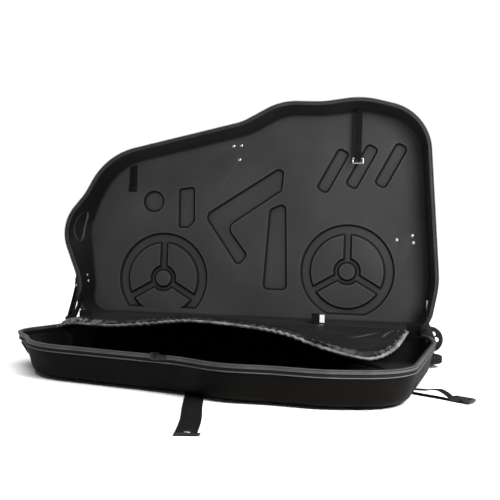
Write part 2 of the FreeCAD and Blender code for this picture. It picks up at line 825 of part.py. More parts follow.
tabs = Part.makeCompound([stay_tab(u, side) for _, u, side in STAYS])
feature(tabs, "back_stay_tabs", BACK)
feature(mirrored(tabs), "front_stay_tabs", FRONT)
for name, u, side in STAYS:
    feature(stay(u), name + "_stay", Placement(hinge, Rotation()))

# Ladder buckle on the right stay, beside its upper end
stay_buckle = box("stay_buckle_plate", "5", "24", "30",
                  Vector(STAYS[1][1] - web / 2 - 5, stay_depth - 12, stay_reach - 15))
keep(stay_buckle, "stay_buckle", BACK, stay_buckle.Placement)

# End handle on the nose: a bracket on the wall, a pin and a hanging webbing loop with a grip
HANDLE_TILT = 13.0
loop_width = size("loop_width")
handle_end = HANDLE_START + loop_width
grip_pin = size("grip_pin")
lug = 4.0
loop_bore = grip_pin + 0.1
loop_radius = loop_bore + size("loop_wall")


def handle_bracket():
    block = Part.makeBox(40, loop_width + 2 * lug + 1, 34,
                         Vector(HANDLE_PIN[0] - 3, HANDLE_START - lug - 0.5,
                                HANDLE_PIN[1] + loop_radius + 1.4))
    lugs = []
    for start in (HANDLE_START - lug - 0.5, handle_end + 0.5):
        lugs.append(Part.makeBox(10, lug, 24, Vector(HANDLE_PIN[0] - 5, start, HANDLE_PIN[1])))
        lugs.append(Part.makeCylinder(5, lug, Vector(HANDLE_PIN[0], start, HANDLE_PIN[1]),
                                      Vector(0, 1, 0)))
    body = block.fuse(lugs).cut(outer_tray)
    drill = Part.makeCylinder(grip_pin + size("hole_clear"), 200,
                              Vector(HANDLE_PIN[0], 0, HANDLE_PIN[1]), Vector(0, 1, 0))
    drills = handle_shanks(drill_radius) + [drill]
    return max(body.cut(drills).Solids, key=lambda item: item.Volume)


def handle_rivets():
    """Two rivets along the case, from the bracket's outer face to a head on the inner wall."""
    head = size("rivet_head")
    thick = size("rivet_head_thick")
    start = HANDLE_PIN[0] - 3
    pieces = []
    for up in HANDLE_RIVETS:
        seats = []
        for side in (-head, head):
            seats.append(wall_place(inner_tray, handle_middle + side, up))
            seats.append(wall_place(inner_tray, handle_middle, up + side))
        seat = max(seats) + size("rivet_seat_gap")
        rod = Part.makeCylinder(size("rivet_radius"), seat + thick - start,
                                Vector(start, handle_middle, up), Vector(1, 0, 0))
        cap = Part.makeCone(head, head * 0.6, thick, Vector(seat, handle_middle, up), Vector(1, 0, 0))
        pieces.append(solid(rod.fuse(cap)))
    return Part.makeCompound(pieces)


def stadium(radius, start, end):
    """Long round-ended prism hanging down from the pin."""
    down = size("loop_length")
    body = Part.makeBox(2 * radius, end - start, down, Vector(-radius, start, -down))
    return body.fuse([
        Part.makeCylinder(radius, end - start, Vector(0, start, 0), Vector(0, 1, 0)),
        Part.makeCylinder(radius, end - start, Vector(0, start, -down), Vector(0, 1, 0)),
    ])


HANDLE = Placement(Vector(HANDLE_PIN[0], 0, HANDLE_PIN[1]),
                   Rotation(Vector(0, 1, 0), HANDLE_TILT))
feature(handle_bracket(), "end_handle_bracket", BACK)
feature(handle_rivets(), "end_handle_rivets", BACK)
pin = cylinder("end_handle_rod", "sizes.grip_pin", "sizes.loop_width + 9",
               Vector(HANDLE_PIN[0], HANDLE_START - lug - 0.5, HANDLE_PIN[1]), ALONG_Y)
keep(pin, "end_handle_pin", BACK, pin.Placement)
loop_shape = stadium(loop_radius, HANDLE_START, handle_end)
loop_shape = loop_shape.cut(stadium(loop_bore, HANDLE_START - 1, handle_end + 1))
feature(solid(loop_shape.removeSplitter()), "end_handle_loop", BACK, HANDLE)
grip = Part.makeCylinder(size("grip_radius"), loop_width + 8,
                         Vector(0, HANDLE_START - 4, -size("loop_length")), Vector(0, 1, 0))
grip_hole = stadium(loop_radius, HANDLE_START, handle_end)
feature(solid(grip.cut(grip_hole)), "end_handle_grip", BACK, HANDLE)

# Shoulder-strap rings on the outer back face
plate_thick = size("plate_thick")
dee_wire = size("dee_wire")
dee_radius = size("dee_radius")
dee_height = shell_depth + plate_thick + dee_wire + 0.4
rivet_radius = size("rivet_radius")
rivet_head = size("rivet_head_thick")


def rivets(places):
    pieces = []
    for u, v in places:
        start = inner_depth - rivet_head
        end = shell_depth + plate_thick + rivet_head
        rod = Part.makeCylinder(rivet_radius, end - start, Vector(u, start, v), Vector(0, 1, 0))
        inside = cone((u, v), size("rivet_head") * 0.6, start, size("rivet_head"), inner_depth)
        outside = cone((u, v), size("rivet_head"), end - rivet_head, size("rivet_head") * 0.6, end)
        pieces.append(solid(rod.fuse([inside, outside])))
    return Part.makeCompound(pieces)


def ring_plate(corners, places, bar):
    """Plate with a clip that wraps the straight bar of its ring."""
    body = prism(corners, 0, shell_depth, shell_depth + plate_thick)
    clip_width = dee_radius
    outer = dee_wire + 2.6
    clip = Part.makeCylinder(outer, clip_width, Vector(bar[0] - clip_width / 2, dee_height, bar[1]),
                             Vector(1, 0, 0))
    foot = Part.makeBox(clip_width, dee_height - shell_depth, 2 * outer,
                        Vector(bar[0] - clip_width / 2, shell_depth, bar[1] - outer))
    body = body.fuse([clip, foot])
    drills = shanks(places, drill_radius)
    drills.append(Part.makeCylinder(dee_wire + size("shaft_clear"), 80,
                                    Vector(bar[0] - 40, dee_height, bar[1]), Vector(1, 0, 0)))
    return solid(body.cut(drills))


def dee_ring(bar):
    ring = Part.makeTorus(dee_radius, dee_wire, Vector(0, 0, 0), Vector(0, 1, 0))
    below = Part.makeBox(100, 20, 60, Vector(-50, -10, -60))
    ring = ring.common(below)
    straight_bar = Part.makeCylinder(dee_wire, 2 * dee_radius, Vector(-dee_radius, 0, 0),
                                     Vector(1, 0, 0))
    corners = [Part.makeSphere(dee_wire, Vector(-dee_radius, 0, 0)),
               Part.makeSphere(dee_wire, Vector(dee_radius, 0, 0))]
    ring = ring.fuse([straight_bar] + corners)
    return solid(ring.transformed(Placement(Vector(bar[0], dee_height, bar[1]),
                                            Rotation()).toMatrix()))


BAR_A = (RIVETS_A[0][0] + 15, RIVETS_A[2][1] - 20)
BAR_B = (half_length - 110, RIVETS_B[2][1] - 22)
PLATE_A = (
    (BAR_A[0] - 15, BAR_A[1] - 11, 7.0),
    (BAR_A[0] + 15, BAR_A[1] - 11, 7.0),
    (RIVETS_A[1][0] + 14, RIVETS_A[1][1] + 9, 9.0),
    (RIVETS_A[0][0] - 14, RIVETS_A[0][1] + 9, 9.0),
)
PLATE_B = (
    (BAR_B[0] - 16, BAR_B[1] - 11, 7.0),
    (BAR_B[0] + 16, BAR_B[1] - 11, 7.0),
    (RIVETS_B[2][0] + 15, RIVETS_B[2][1] - 4, 9.0),
    (RIVETS_B[1][0] + 16, RIVETS_B[1][1] + 12, 9.0),
    (RIVETS_B[0][0] - 13, RIVETS_B[0][1] + 12, 9.0),
    (RIVETS_B[0][0] - 13, RIVETS_B[0][1] - 10, 9.0),
)
for name, corners, places, bar in (("upper", PLATE_A, RIVETS_A, BAR_A),
                                   ("tail", PLATE_B, RIVETS_B, BAR_B)):
    feature(ring_plate(corners, places, bar), name + "_ring_plate", BACK)
    feature(rivets(places), name + "_rivets", BACK)
    feature(dee_ring(bar), name + "_ring", BACK)

# Webbing inside the back half
strap_depth = 60.0
TOP_STRAP = half_length - 260
TOP_STRAP_END = height - 180
ring_wire = size("ring_wire")
narrow = size("narrow_web")
top_strap = Part.makeBox(narrow, web, height - TOP_STRAP_END,
                         Vector(TOP_STRAP - narrow / 2, strap_depth, TOP_STRAP_END))
top_strap = max(top_strap.common(inner_tray).Solids, key=lambda item: item.Volume)
eye = (strap_depth + web / 2, TOP_STRAP_END)
eye_radius = ring_wire + web
top_strap = top_strap.fuse(Part.makeCylinder(eye_radius, narrow,
                                             Vector(TOP_STRAP - narrow / 2, eye[0], eye[1]),
                                             Vector(1, 0, 0)))
top_strap = top_strap.cut(Part.makeCylinder(ring_wire + 0.1, narrow + 2,
                                            Vector(TOP_STRAP - narrow / 2 - 1, eye[0], eye[1]),
                                            Vector(1, 0, 0)))
feature(solid(top_strap), "top_strap", BACK)


def square_ring():
    """Wire bent into a rectangle, its upper bar in the strap's eye."""
    half = size("ring_width") / 2
    drop = size("ring_height")
    corners = [Vector(-half, 0, 0), Vector(half, 0, 0), Vector(half, 0, -drop),
               Vector(-half, 0, -drop)]
    pieces = []
    for i, start in enumerate(corners):
        end = corners[(i + 1) % 4]
        pieces.append(Part.makeCylinder(ring_wire, (end - start).Length, start, end - start))
        pieces.append(Part.makeSphere(ring_wire, start))
    return solid(pieces[0].fuse(pieces[1:]))


feature(square_ring(), "top_strap_ring", BACK,
        Placement(Vector(TOP_STRAP, eye[0], eye[1]), Rotation()))

NOSE_STRAP = (-half_length + 174, shoulder_height - 108)
nose_strap = Part.makeBox(size("web_width"), web, height,
                          Vector(NOSE_STRAP[0], inner_depth - web, NOSE_STRAP[1]))
nose_strap = max(nose_strap.common(inner_tray).Solids, key=lambda item: item.Volume)
feature(nose_strap, "nose_strap", BACK)

TAB = hinge_right - 244
tab_depth = 30.0
tab_web = Part.makeBox(size("web_width"), web, 48, Vector(TAB, tab_depth, 0))
tab_web = max(tab_web.common(inner_tray).Solids, key=lambda item: item.Volume)
feature(tab_web, "bottom_tab", BACK)
label = box("label_strip", "15", "1", "24", Vector(TAB + size("web_width"), tab_depth + 0.4, 20))
keep(label, "strap_label", BACK, label.Placement)

# Wheel straps on the inside of the front half, each with a cam buckle
for name, u in (("nose", -half_length + 272), ("tail", half_length - 272)):
    strap = box(name + "_wheel_web", "sizes.web_width", "sizes.web_thick", "sizes.case_height - 350",
                Vector(u - size("web_width") / 2, -inner_depth, 70))
    keep(strap, name + "_wheel_strap", FRONT, strap.Placement)
    cam = box(name + "_cam_block", "sizes.web_width + 9", "7", "30",
              Vector(u - size("web_width") / 2 - 4.5, -inner_depth + web, 330))
    keep(cam, name + "_wheel_buckle", FRONT, cam.Placement)

# Wide webbing strap that runs out from under the front half, flat on the ground
WIDE_START = (ramp_foot[0] + 25, ramp_foot[1] - 86)
WIDE_ANGLE = 13.3
wide = size("wide_web")
wide_thick = size("wide_web_thick")
wide_length = size("wide_length")
WIDE = Placement(Vector(WIDE_START[0], -full_depth, WIDE_START[1]),
                 Rotation(Vector(0, 1, 0), WIDE_ANGLE))
eyelet_at = wide_length - 26
strap = Part.makeBox(wide, wide_thick, wide_length, Vector(-wide / 2, 0, 0))
eyelet_hole = Part.makeCylinder(4.0, 20, Vector(0, -10, eyelet_at), Vector(0, 1, 0))
feature(strap.cut(eyelet_hole), "wide_strap", FRONT, WIDE)
anchor = box("wide_anchor_block", "sizes.wide_web", "sizes.relief_height - sizes.wide_web_thick",
             "34", Vector(-wide / 2, wide_thick, 0))
keep(anchor, "wide_strap_anchor", FRONT, WIDE.multiply(anchor.Placement))
end_plate = box("wide_end_block", "sizes.wide_web + 6", "2.6", "13",
                Vector(-wide / 2 - 3, wide_thick, wide_length - 13))
keep(end_plate, "wide_strap_end", FRONT, WIDE.multiply(end_plate.Placement))
eyelet = Part.makeCylinder(7.5, 1.2, Vector(0, wide_thick, eyelet_at), Vector(0, 1, 0))
eyelet = eyelet.fuse(Part.makeCylinder(3.9, wide_thick + 1, Vector(0, 0.2, eyelet_at),
                                       Vector(0, 1, 0)))
eyelet = eyelet.cut(Part.makeCylinder(2.8, 20, Vector(0, -10, eyelet_at), Vector(0, 1, 0)))
feature(solid(eyelet), "wide_strap_eyelet", FRONT, WIDE)

# Closing strap beside the tail: one strand flat on the ground, one from the wall, and a buckle.
# Its own frame has X along the strap, Y up from the ground and Z across it.
CLOSING_START = (half_length - 92, 388.0)
CLOSING_ANGLE = 33.0
CLOSING = Placement(Vector(CLOSING_START[0], -full_depth, CLOSING_START[1]),
                    Rotation(Vector(0, 1, 0), -CLOSING_ANGLE))
strap_width = size("web_width")
buckle_clear = size("buckle_clear")
plug_start = 165.0
plug_end = plug_start + size("plug_bar")
socket_start = plug_end + 1.0
socket_end = socket_start + size("socket_length")
buckle_low = web + buckle_clear
buckle_high = buckle_low + size("buckle_height")
buckle_width = size("buckle_width")
slot_start = socket_end - 8.5
slot_end = slot_start + 5.0
bar_height = (buckle_low + buckle_high) / 2

lower = Part.makeBox(slot_start + 3.4, web, strap_width, Vector(0, 0, -strap_width / 2))
hook = Part.makeBox(web, buckle_high - 1, strap_width,
                    Vector(slot_start + 3.4 - web, 0, -strap_width / 2))
feature(solid(lower.fuse(hook).removeSplitter()), "closing_strap_lower", FRONT, CLOSING)
spacer = box("closing_anchor_block", "20", "sizes.relief_height - sizes.web_thick",
             "sizes.web_width", Vector(0, web, -strap_width / 2))
keep(spacer, "closing_strap_anchor", FRONT, CLOSING.multiply(spacer.Placement))

UPPER_RISE = ((40.0, 11.0), (88.0, 14.0), (125.0, 21.0))
upper_points = [Vector(run_out, rise, 0) for run_out, rise in UPPER_RISE]
upper_points.append(Vector(plug_start, bar_height, 0))
upper_points += [Vector(p.x, p.y + web, 0) for p in reversed(upper_points)]
upper_points = [p + Vector(0, 0, -strap_width / 2) for p in upper_points]
upper = Part.Face(Part.makePolygon(upper_points + upper_points[:1]))
upper = upper.extrude(Vector(0, 0, strap_width))
upper_local = upper.transformed(CLOSING.toMatrix()).cut(mirrored(outer_tray))
feature(max(upper_local.Solids, key=lambda item: item.BoundBox.XMax), "closing_strap_upper", FRONT)

plug_width = buckle_width - 6
prong_low = buckle_low + 2.4
prong_high = buckle_high - 2.4
prong = size("prong_width")
plug = Part.makeBox(size("plug_bar"), buckle_high - buckle_low, buckle_width - 2,
                    Vector(plug_start, buckle_low, -buckle_width / 2 + 1))
prongs = []
for side in (-1, 1):
    centre = side * (plug_width - prong) / 2
    prongs.append(Part.makeBox(size("prong_length"), prong_high - prong_low, prong,
                               Vector(plug_end, prong_low, centre - prong / 2)))
prongs.append(Part.makeBox(size("prong_length") - 6, prong_high - prong_low, prong,
                           Vector(plug_end, prong_low, -prong / 2)))
plug = plug.fuse(prongs)
plug = plug.cut(Part.makeBox(5, 40, buckle_width - 8,
                             Vector(plug_start + 4, -10, -buckle_width / 2 + 4)))
feature(solid(plug), "buckle_plug", FRONT, CLOSING)

socket = Part.makeBox(size("socket_length"), buckle_high - buckle_low, buckle_width,
                      Vector(socket_start, buckle_low, -buckle_width / 2))
cavity = Part.makeBox(size("prong_length") + 1.5, prong_high - prong_low + 2 * buckle_clear,
                      plug_width + 2 * buckle_clear,
                      Vector(socket_start - 1, prong_low - buckle_clear,
                             -plug_width / 2 - buckle_clear))
windows = Part.makeBox(11, prong_high - prong_low + 2 * buckle_clear, 80,
                       Vector(socket_start + 11, prong_low - buckle_clear, -40))
slot = Part.makeBox(slot_end - slot_start, 40, strap_width + 1,
                    Vector(slot_start, -10, -strap_width / 2 - 0.5))
feature(solid(socket.cut([cavity, windows, slot])), "buckle_socket", FRONT, CLOSING)

doc.recompute()

# Stand the whole case with the middle of its footprint over the origin
bounds = FreeCAD.BoundBox()
for obj in nodes:
    bounds.add(obj.Shape.optimalBoundingBox(False, False))
shift = Vector(-bounds.Center.x, -bounds.Center.y, -bounds.ZMin)
for obj in nodes:
    obj.Placement = Placement(shift, Rotation()).multiply(obj.Placement)
doc.recompute()

for obj in doc.Objects:
    if "Invalid" in obj.State or "Error" in obj.State:
        raise RuntimeError("%s did not recompute: %s" % (obj.Name, obj.State))
for obj in nodes:
    if obj.Shape.isNull() or not obj.Shape.isValid() or not obj.Shape.Solids:
        raise RuntimeError("%s has no valid solid" % obj.Label)

os.makedirs("parts", exist_ok=True)
for obj in nodes:
    obj.Shape.exportStep("parts/%s.step" % obj.Label)


def metres(point):
    return ", ".join("%.5f" % (value / 1000) for value in point)


# Places of the joints, in metres, for whoever writes the joints down
whole = Placement(shift, Rotation())
print("hinge", metres(whole.multVec(hinge)))
joint_places = (
    ("back wheel", BACK, Vector(WHEEL[0], size("wheel_depth"), WHEEL[1]), Vector(0, 1, 0)),
    ("front wheel", FRONT, Vector(WHEEL[0], -size("wheel_depth"), WHEEL[1]), Vector(0, 1, 0)),
    ("zip slider", FRONT.multiply(SLIDER), Vector(0, 0, 0), Vector(1, 0, 0)),
    ("zip pull", FRONT.multiply(SLIDER), Vector(0, -3, pin_height), Vector(0, 1, 0)),
    ("end handle", BACK, Vector(HANDLE_PIN[0], HANDLE_START, HANDLE_PIN[1]), Vector(0, 1, 0)),
    ("upper ring", BACK, Vector(BAR_A[0], dee_height, BAR_A[1]), Vector(1, 0, 0)),
    ("tail ring", BACK, Vector(BAR_B[0], dee_height, BAR_B[1]), Vector(1, 0, 0)),
    ("strap ring", BACK, Vector(TOP_STRAP, eye[0], eye[1]), Vector(1, 0, 0)),
    ("buckle", FRONT.multiply(CLOSING), Vector(plug_start, 0, 0), Vector(1, 0, 0)),
)
for name, place, point, axis in joint_places:
    place = whole.multiply(place)
    way = place.Rotation.multVec(axis)
    print(name, "at", metres(place.multVec(point)), "axis %.5f %.5f %.5f" % tuple(way))
print("nodes", len(nodes), "bounds", bounds)
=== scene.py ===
import json
import math

import bmesh
import bpy
from mathutils import Matrix, Vector
from mathutils.kdtree import KDTree


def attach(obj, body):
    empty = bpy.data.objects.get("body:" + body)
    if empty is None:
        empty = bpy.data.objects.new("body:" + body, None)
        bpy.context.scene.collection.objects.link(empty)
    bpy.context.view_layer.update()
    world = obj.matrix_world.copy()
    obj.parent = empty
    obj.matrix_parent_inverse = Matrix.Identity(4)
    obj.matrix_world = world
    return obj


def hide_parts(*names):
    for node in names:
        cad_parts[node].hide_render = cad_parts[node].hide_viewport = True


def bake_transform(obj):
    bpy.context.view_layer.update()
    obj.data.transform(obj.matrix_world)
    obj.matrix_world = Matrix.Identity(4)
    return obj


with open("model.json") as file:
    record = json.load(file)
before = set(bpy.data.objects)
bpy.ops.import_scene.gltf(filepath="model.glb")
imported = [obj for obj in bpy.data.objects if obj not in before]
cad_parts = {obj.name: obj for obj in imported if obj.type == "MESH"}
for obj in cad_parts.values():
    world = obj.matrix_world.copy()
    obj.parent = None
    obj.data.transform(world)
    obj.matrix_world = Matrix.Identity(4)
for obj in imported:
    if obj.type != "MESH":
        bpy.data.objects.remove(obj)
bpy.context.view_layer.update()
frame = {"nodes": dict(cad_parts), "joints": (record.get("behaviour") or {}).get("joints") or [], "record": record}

# Places. Each half has its own frame on the hinge line: u along the case, v away from the hinge
# and w down into the shell from its rim. All three are in millimetres here, the scene in metres.

MM = 0.001
JOINTS = {joint["name"]: joint for joint in frame["joints"]}
BODY_OF = {}
for body_name, members in frame["record"]["behaviour"]["bodies"].items():
    for member in members:
        BODY_OF[member] = body_name
HINGE = Vector(JOINTS["case_close"]["pos_m"])
LEAN = math.radians(5)
BACK = Matrix.Translation(HINGE) @ Matrix.Rotation(-LEAN, 4, "X")
FRONT = Matrix.Translation(HINGE) @ Matrix.Rotation(math.pi / 2, 4, "X")
HALVES = {"back": (BACK, 1), "front": (FRONT, -1)}


def at(half, u, v, w):
    """A point of one half, given in its own frame."""
    place, side = HALVES[half]
    return place @ (Vector((u, side * w, v)) * MM)


# Modelling helpers

def fresh():
    """Leave edit mode and let go of everything."""
    if bpy.context.object and bpy.context.object.mode != "OBJECT":
        bpy.ops.object.mode_set(mode="OBJECT")
    bpy.ops.object.select_all(action="DESELECT")


def take(piece):
    fresh()
    piece.select_set(True)
    bpy.context.view_layer.objects.active = piece


def open_up(piece):
    """Edit mode with nothing selected."""
    take(piece)
    bpy.ops.object.mode_set(mode="EDIT")
    bpy.ops.mesh.select_all(action="DESELECT")


def close_up():
    bpy.ops.object.mode_set(mode="OBJECT")


def pick_faces(piece, test):
    """Select the faces whose centre and normal pass the test, in edit mode."""
    bpy.ops.mesh.select_mode(type="FACE")
    shape = bmesh.from_edit_mesh(piece.data)
    for face in shape.faces:
        face.select = bool(test(face.calc_center_median(), face.normal))
    shape.select_flush_mode()
    bmesh.update_edit_mesh(piece.data)


def pick_edges(piece, test):
    """Select the edges whose two ends pass the test, in edit mode."""
    bpy.ops.mesh.select_mode(type="EDGE")
    shape = bmesh.from_edit_mesh(piece.data)
    for edge in shape.edges:
        edge.select = bool(test(edge.verts[0].co, edge.verts[1].co))
    bmesh.update_edit_mesh(piece.data)


def fix(piece):
    """Bring an object's place and size into its mesh."""
    take(piece)
    bpy.ops.object.transform_apply(location=True, rotation=True, scale=True)
    return piece


def block(name, length, depth, height, centre=(0, 0, 0)):
    """A box to start from, in millimetres."""
    fresh()
    bpy.ops.mesh.primitive_cube_add(size=1, location=Vector(centre) * MM)
    piece = bpy.context.object
    piece.name = name
    piece.scale = (length * MM, depth * MM, height * MM)
    return fix(piece)


def put(name, data):
    """A new object in the scene that shows this data."""
    piece = bpy.data.objects.new(name, data)
    bpy.context.scene.collection.objects.link(piece)
    return piece


def rod(name, radius, length, sides, centre=(0, 0, 0), turn=(0, 0, 0)):
    fresh()
    bpy.ops.mesh.primitive_cylinder_add(vertices=sides, radius=radius * MM, depth=length * MM,
                                        location=Vector(centre) * MM, rotation=turn)
    piece = bpy.context.object
    piece.name = name
    return fix(piece)


def modifier(piece, kind, **values):
    """Add one modifier and apply it."""
    take(piece)
    made = piece.modifiers.new(kind.lower(), kind)
    for key, value in values.items():
        setattr(made, key, value)
    bpy.ops.object.modifier_apply(modifier=made.name)
    return piece


def rounded(piece, width, segments=2, angle=30):
    """Bevel every edge sharper than the angle, width in millimetres."""
    return modifier(piece, "BEVEL", width=width * MM, segments=segments, limit_method="ANGLE",
                    angle_limit=math.radians(angle), use_clamp_overlap=True,
                    miter_outer="MITER_ARC")


def smooth(piece, angle=35):
    take(piece)
    bpy.ops.object.shade_smooth_by_angle(angle=math.radians(angle))
    return piece


def moved(piece, matrix):
    piece.data.transform(matrix)
    piece.data.update()
    return piece


def joined(name, pieces):
    fresh()
    for piece in pieces:
        piece.select_set(True)
    bpy.context.view_layer.objects.active = pieces[0]
    bpy.ops.object.join()
    pieces[0].name = name
    return pieces[0]


def copies(name, model, matrices):
    """One mesh with a copy of the model at each matrix. The model itself is removed."""
    shape = bmesh.new()
    for matrix in matrices:
        one = model.data.copy()
        one.transform(matrix)
        shape.from_mesh(one)
        bpy.data.meshes.remove(one)
    mesh = bpy.data.meshes.new(name)
    shape.to_mesh(mesh)
    shape.free()
    piece = put(name, mesh)
    bpy.data.objects.remove(model)
    return piece


def outward(piece):
    """Merge doubles and turn every face outwards."""
    open_up(piece)
    bpy.ops.mesh.select_all(action="SELECT")
    bpy.ops.mesh.remove_doubles(threshold=0.00001)
    bpy.ops.mesh.normals_make_consistent(inside=False)
    close_up()
    return piece


def node_copy(node, name):
    """A merged copy of a CAD node's mesh, with flat faces put back together."""
    mesh = frame["nodes"][node].data.copy()
    mesh.materials.clear()
    piece = put(name, mesh)
    open_up(piece)
    bpy.ops.mesh.customdata_custom_splitnormals_clear()
    bpy.ops.mesh.select_all(action="SELECT")
    bpy.ops.mesh.remove_doubles(threshold=0.00001)
    bpy.ops.mesh.dissolve_limited(angle_limit=math.radians(0.6))
    close_up()
    return piece


def finished(piece, material, slot, body, *nodes):
    """Give a piece its material and its body, and hide the CAD nodes it stands for."""
    piece.data.materials.clear()
    piece.data.materials.append(material)
    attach(piece, body)
    if nodes:
        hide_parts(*nodes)
    return piece


def bent(piece, material, first, second, start, end, *nodes):
    """Give a band its material, bake its place into its mesh and hide the CAD nodes it stands for."""
    piece.data.materials.append(material)
    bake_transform(piece)
    if nodes:
        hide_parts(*nodes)


def softened(node, name, material, slot, width, segments):
    """The CAD node's own shape with its edges rounded, in place of the node."""
    piece = node_copy(node, name)
    if width:
        rounded(piece, width, segments)
    smooth(piece)
    return finished(piece, material, slot, BODY_OF[node], node)


def nearest(points):
    """A tree that finds the nearest of the points."""
    tree = KDTree(len(points))
    for i, point in enumerate(points):
        tree.insert(point, i)
    tree.balance()
    return tree


def ease(share):
    """The share, held between 0 and 1."""
    return min(1.0, max(0.0, share))


def runs(line):
    """The length along the line at each of its points."""
    made = [0.0]
    for a, b in zip(line, line[1:]):
        made.append(made[-1] + (b - a).length)
    return made


# Materials

class Finish:
    """A new material with its shader, and short ways to add nodes."""

    def __init__(self, name, colour, roughness, metallic=0.0, specular=0.5):
        self.material = bpy.data.materials.new(name)
        self.material.use_nodes = True
        self.tree = self.material.node_tree
        self.shader = self.tree.nodes["Principled BSDF"]
        self.shader.inputs["Base Color"].default_value = (*colour, 1)
        self.shader.inputs["Roughness"].default_value = roughness
        self.shader.inputs["Metallic"].default_value = metallic
        self.shader.inputs["Specular IOR Level"].default_value = specular
        self.coords = self.tree.nodes.new("ShaderNodeTexCoord")
        self.height = None

    def add(self, kind, **values):
        node = self.tree.nodes.new(kind)
        for key, value in values.items():
            if key in node.inputs:
                node.inputs[key].default_value = value
            else:
                setattr(node, key, value)
        return node

    def link(self, source, target):
        self.tree.links.new(source, target)

    def noise(self, scale, detail=4.0, stretch=None):
        node = self.add("ShaderNodeTexNoise", Scale=scale, Detail=detail)
        coords = self.coords.outputs["Object"]
        if stretch:
            mapping = self.add("ShaderNodeMapping", Scale=stretch)
            self.link(coords, mapping.inputs["Vector"])
            coords = mapping.outputs["Vector"]
        self.link(coords, node.inputs["Vector"])
        return node.outputs["Fac"]

    def wave(self, pitch, direction, source="Object"):
        """Bands that repeat every pitch metres."""
        node = self.add("ShaderNodeTexWave", bands_direction=direction, wave_profile="SIN")
        node.inputs["Scale"].default_value = math.pi / 10 / pitch
        node.inputs["Distortion"].default_value = 0.0
        self.link(self.coords.outputs[source], node.inputs["Vector"])
        return node.outputs["Fac"]

    def ramp(self, source, stops):
        node = self.add("ShaderNodeValToRGB")
        band = node.color_ramp
        while len(band.elements) < len(stops):
            band.elements.new(0.5)
        for element, (place, value) in zip(band.elements, stops):
            colour = value if isinstance(value, tuple) else (value, value, value)
            element.position = place
            element.color = (*colour, 1)
        self.link(source, node.inputs["Fac"])
        return node.outputs["Color"]

    def colour(self, source, stops):
        self.link(self.ramp(source, stops), self.shader.inputs["Base Color"])

    def roughness(self, source, low, high):
        self.link(self.ramp(source, ((0.3, low), (0.7, high))), self.shader.inputs["Roughness"])

    def mix(self, a, b, share, kind="MIX"):
        node = self.add("ShaderNodeMix", data_type="RGBA", blend_type=kind)
        node.inputs["Factor"].default_value = share
        self.link(a, node.inputs[6])
        self.link(b, node.inputs[7])
        return node.outputs[2]

    def rub(self, low, high):
        """Where edges stand out and get rubbed."""
        edges = self.add("ShaderNodeNewGeometry").outputs["Pointiness"]
        return self.ramp(edges, ((low, 0.0), (high, 1.0)))

    def hollow(self, reach, stops, **values):
        """Where the piece is near itself, within reach in metres."""
        node = self.add("ShaderNodeAmbientOcclusion", samples=8, only_local=True, Distance=reach, **values)
        return self.ramp(node.outputs["AO"], stops)

    def value(self, name):
        """A value that the mesh carries under this name."""
        return self.add("ShaderNodeAttribute", attribute_name=name).outputs["Fac"]

    def woven(self, weave, dust, share, stops, rough, relief):
        """Weave and dust in the colour, dust in the shine and the weave in relief."""
        self.colour(self.mix(weave, dust, share), stops)
        self.roughness(dust, *rough)
        self.bump(weave, *relief)
        return self.material

    def bump(self, source, depth, strength):
        """Height in metres, on top of any bump that is there already."""
        node = self.add("ShaderNodeBump", Distance=depth, Strength=strength)
        self.link(source, node.inputs["Height"])
        if self.height:
            self.link(self.height, node.inputs["Normal"])
        self.height = node.outputs["Normal"]
        self.link(self.height, self.shader.inputs["Normal"])


def grey(value, warm=0.0):
    return (value * (1 + warm), value, value * (1 - warm))


def lining_cloth():
    """Brushed cloth pressed on the inside of the shells, with painted shade and painted highlights."""
    finish = Finish("lining_cloth", grey(0.022), 0.85, specular=0.12)
    patches = finish.noise(5.0, 5.0)
    nap = finish.noise(420.0, 3.0)
    cloth = finish.ramp(finish.mix(patches, nap, 0.35),
                        ((0.3, 0.022), (0.55, (0.0305, 0.031, 0.0315)), (0.75, 0.042)))
    # Painted highlight: the lining is painted paler along the convex edges of its raised forms.
    painted_edge_highlight = finish.hollow(0.005, ((0.5, 0.2), (0.93, 0.0)), inside=True)
    cloth = finish.mix(cloth, painted_edge_highlight, 1.0, "ADD")
    # Painted shade from the tone attribute: walls, creases and rim painted darker, the tail wall paler, the front
    # half darker.
    tone = finish.ramp(finish.value("tone"), ((0.0, 0.0), (1.0, 1.0)))
    cloth = finish.mix(cloth, tone, 1.0, "MULTIPLY")
    # Painted shade: the lining is darker in its creases and hollows, from ambient occlusion.
    creases = finish.hollow(0.018, ((0.6, 0.12), (0.97, 1.0)))
    cloth = finish.mix(cloth, creases, 1.0, "MULTIPLY")
    finish.link(cloth, finish.shader.inputs["Base Color"])
    finish.roughness(nap, 0.72, 0.92)
    finish.shader.inputs["Sheen Weight"].default_value = 0.03
    finish.shader.inputs["Sheen Roughness"].default_value = 0.4
    finish.bump(nap, 0.0005, 0.5)
    return finish.material


def shell_skin():
    """Smooth cloth-faced foam board on the outside, rubbed paler along its edges."""
    finish = Finish("shell_skin", grey(0.003, 0.2), 0.7, specular=0.06)
    patches = finish.noise(7.0, 6.0)
    weave = finish.noise(650.0, 2.0)
    finish.colour(finish.mix(finish.mix(patches, weave, 0.3), finish.rub(0.52, 0.62), 0.2),
                  ((0.3, grey(0.0013, 0.25)), (0.6, grey(0.002, 0.25)), (0.9, grey(0.007, 0.12))))
    finish.roughness(patches, 0.6, 0.78)
    finish.bump(weave, 0.0003, 0.5)
    return finish.material


WEB_RIB = 2.4
WEB_DARK = 0.0035
WEB_LIGHT = 0.012


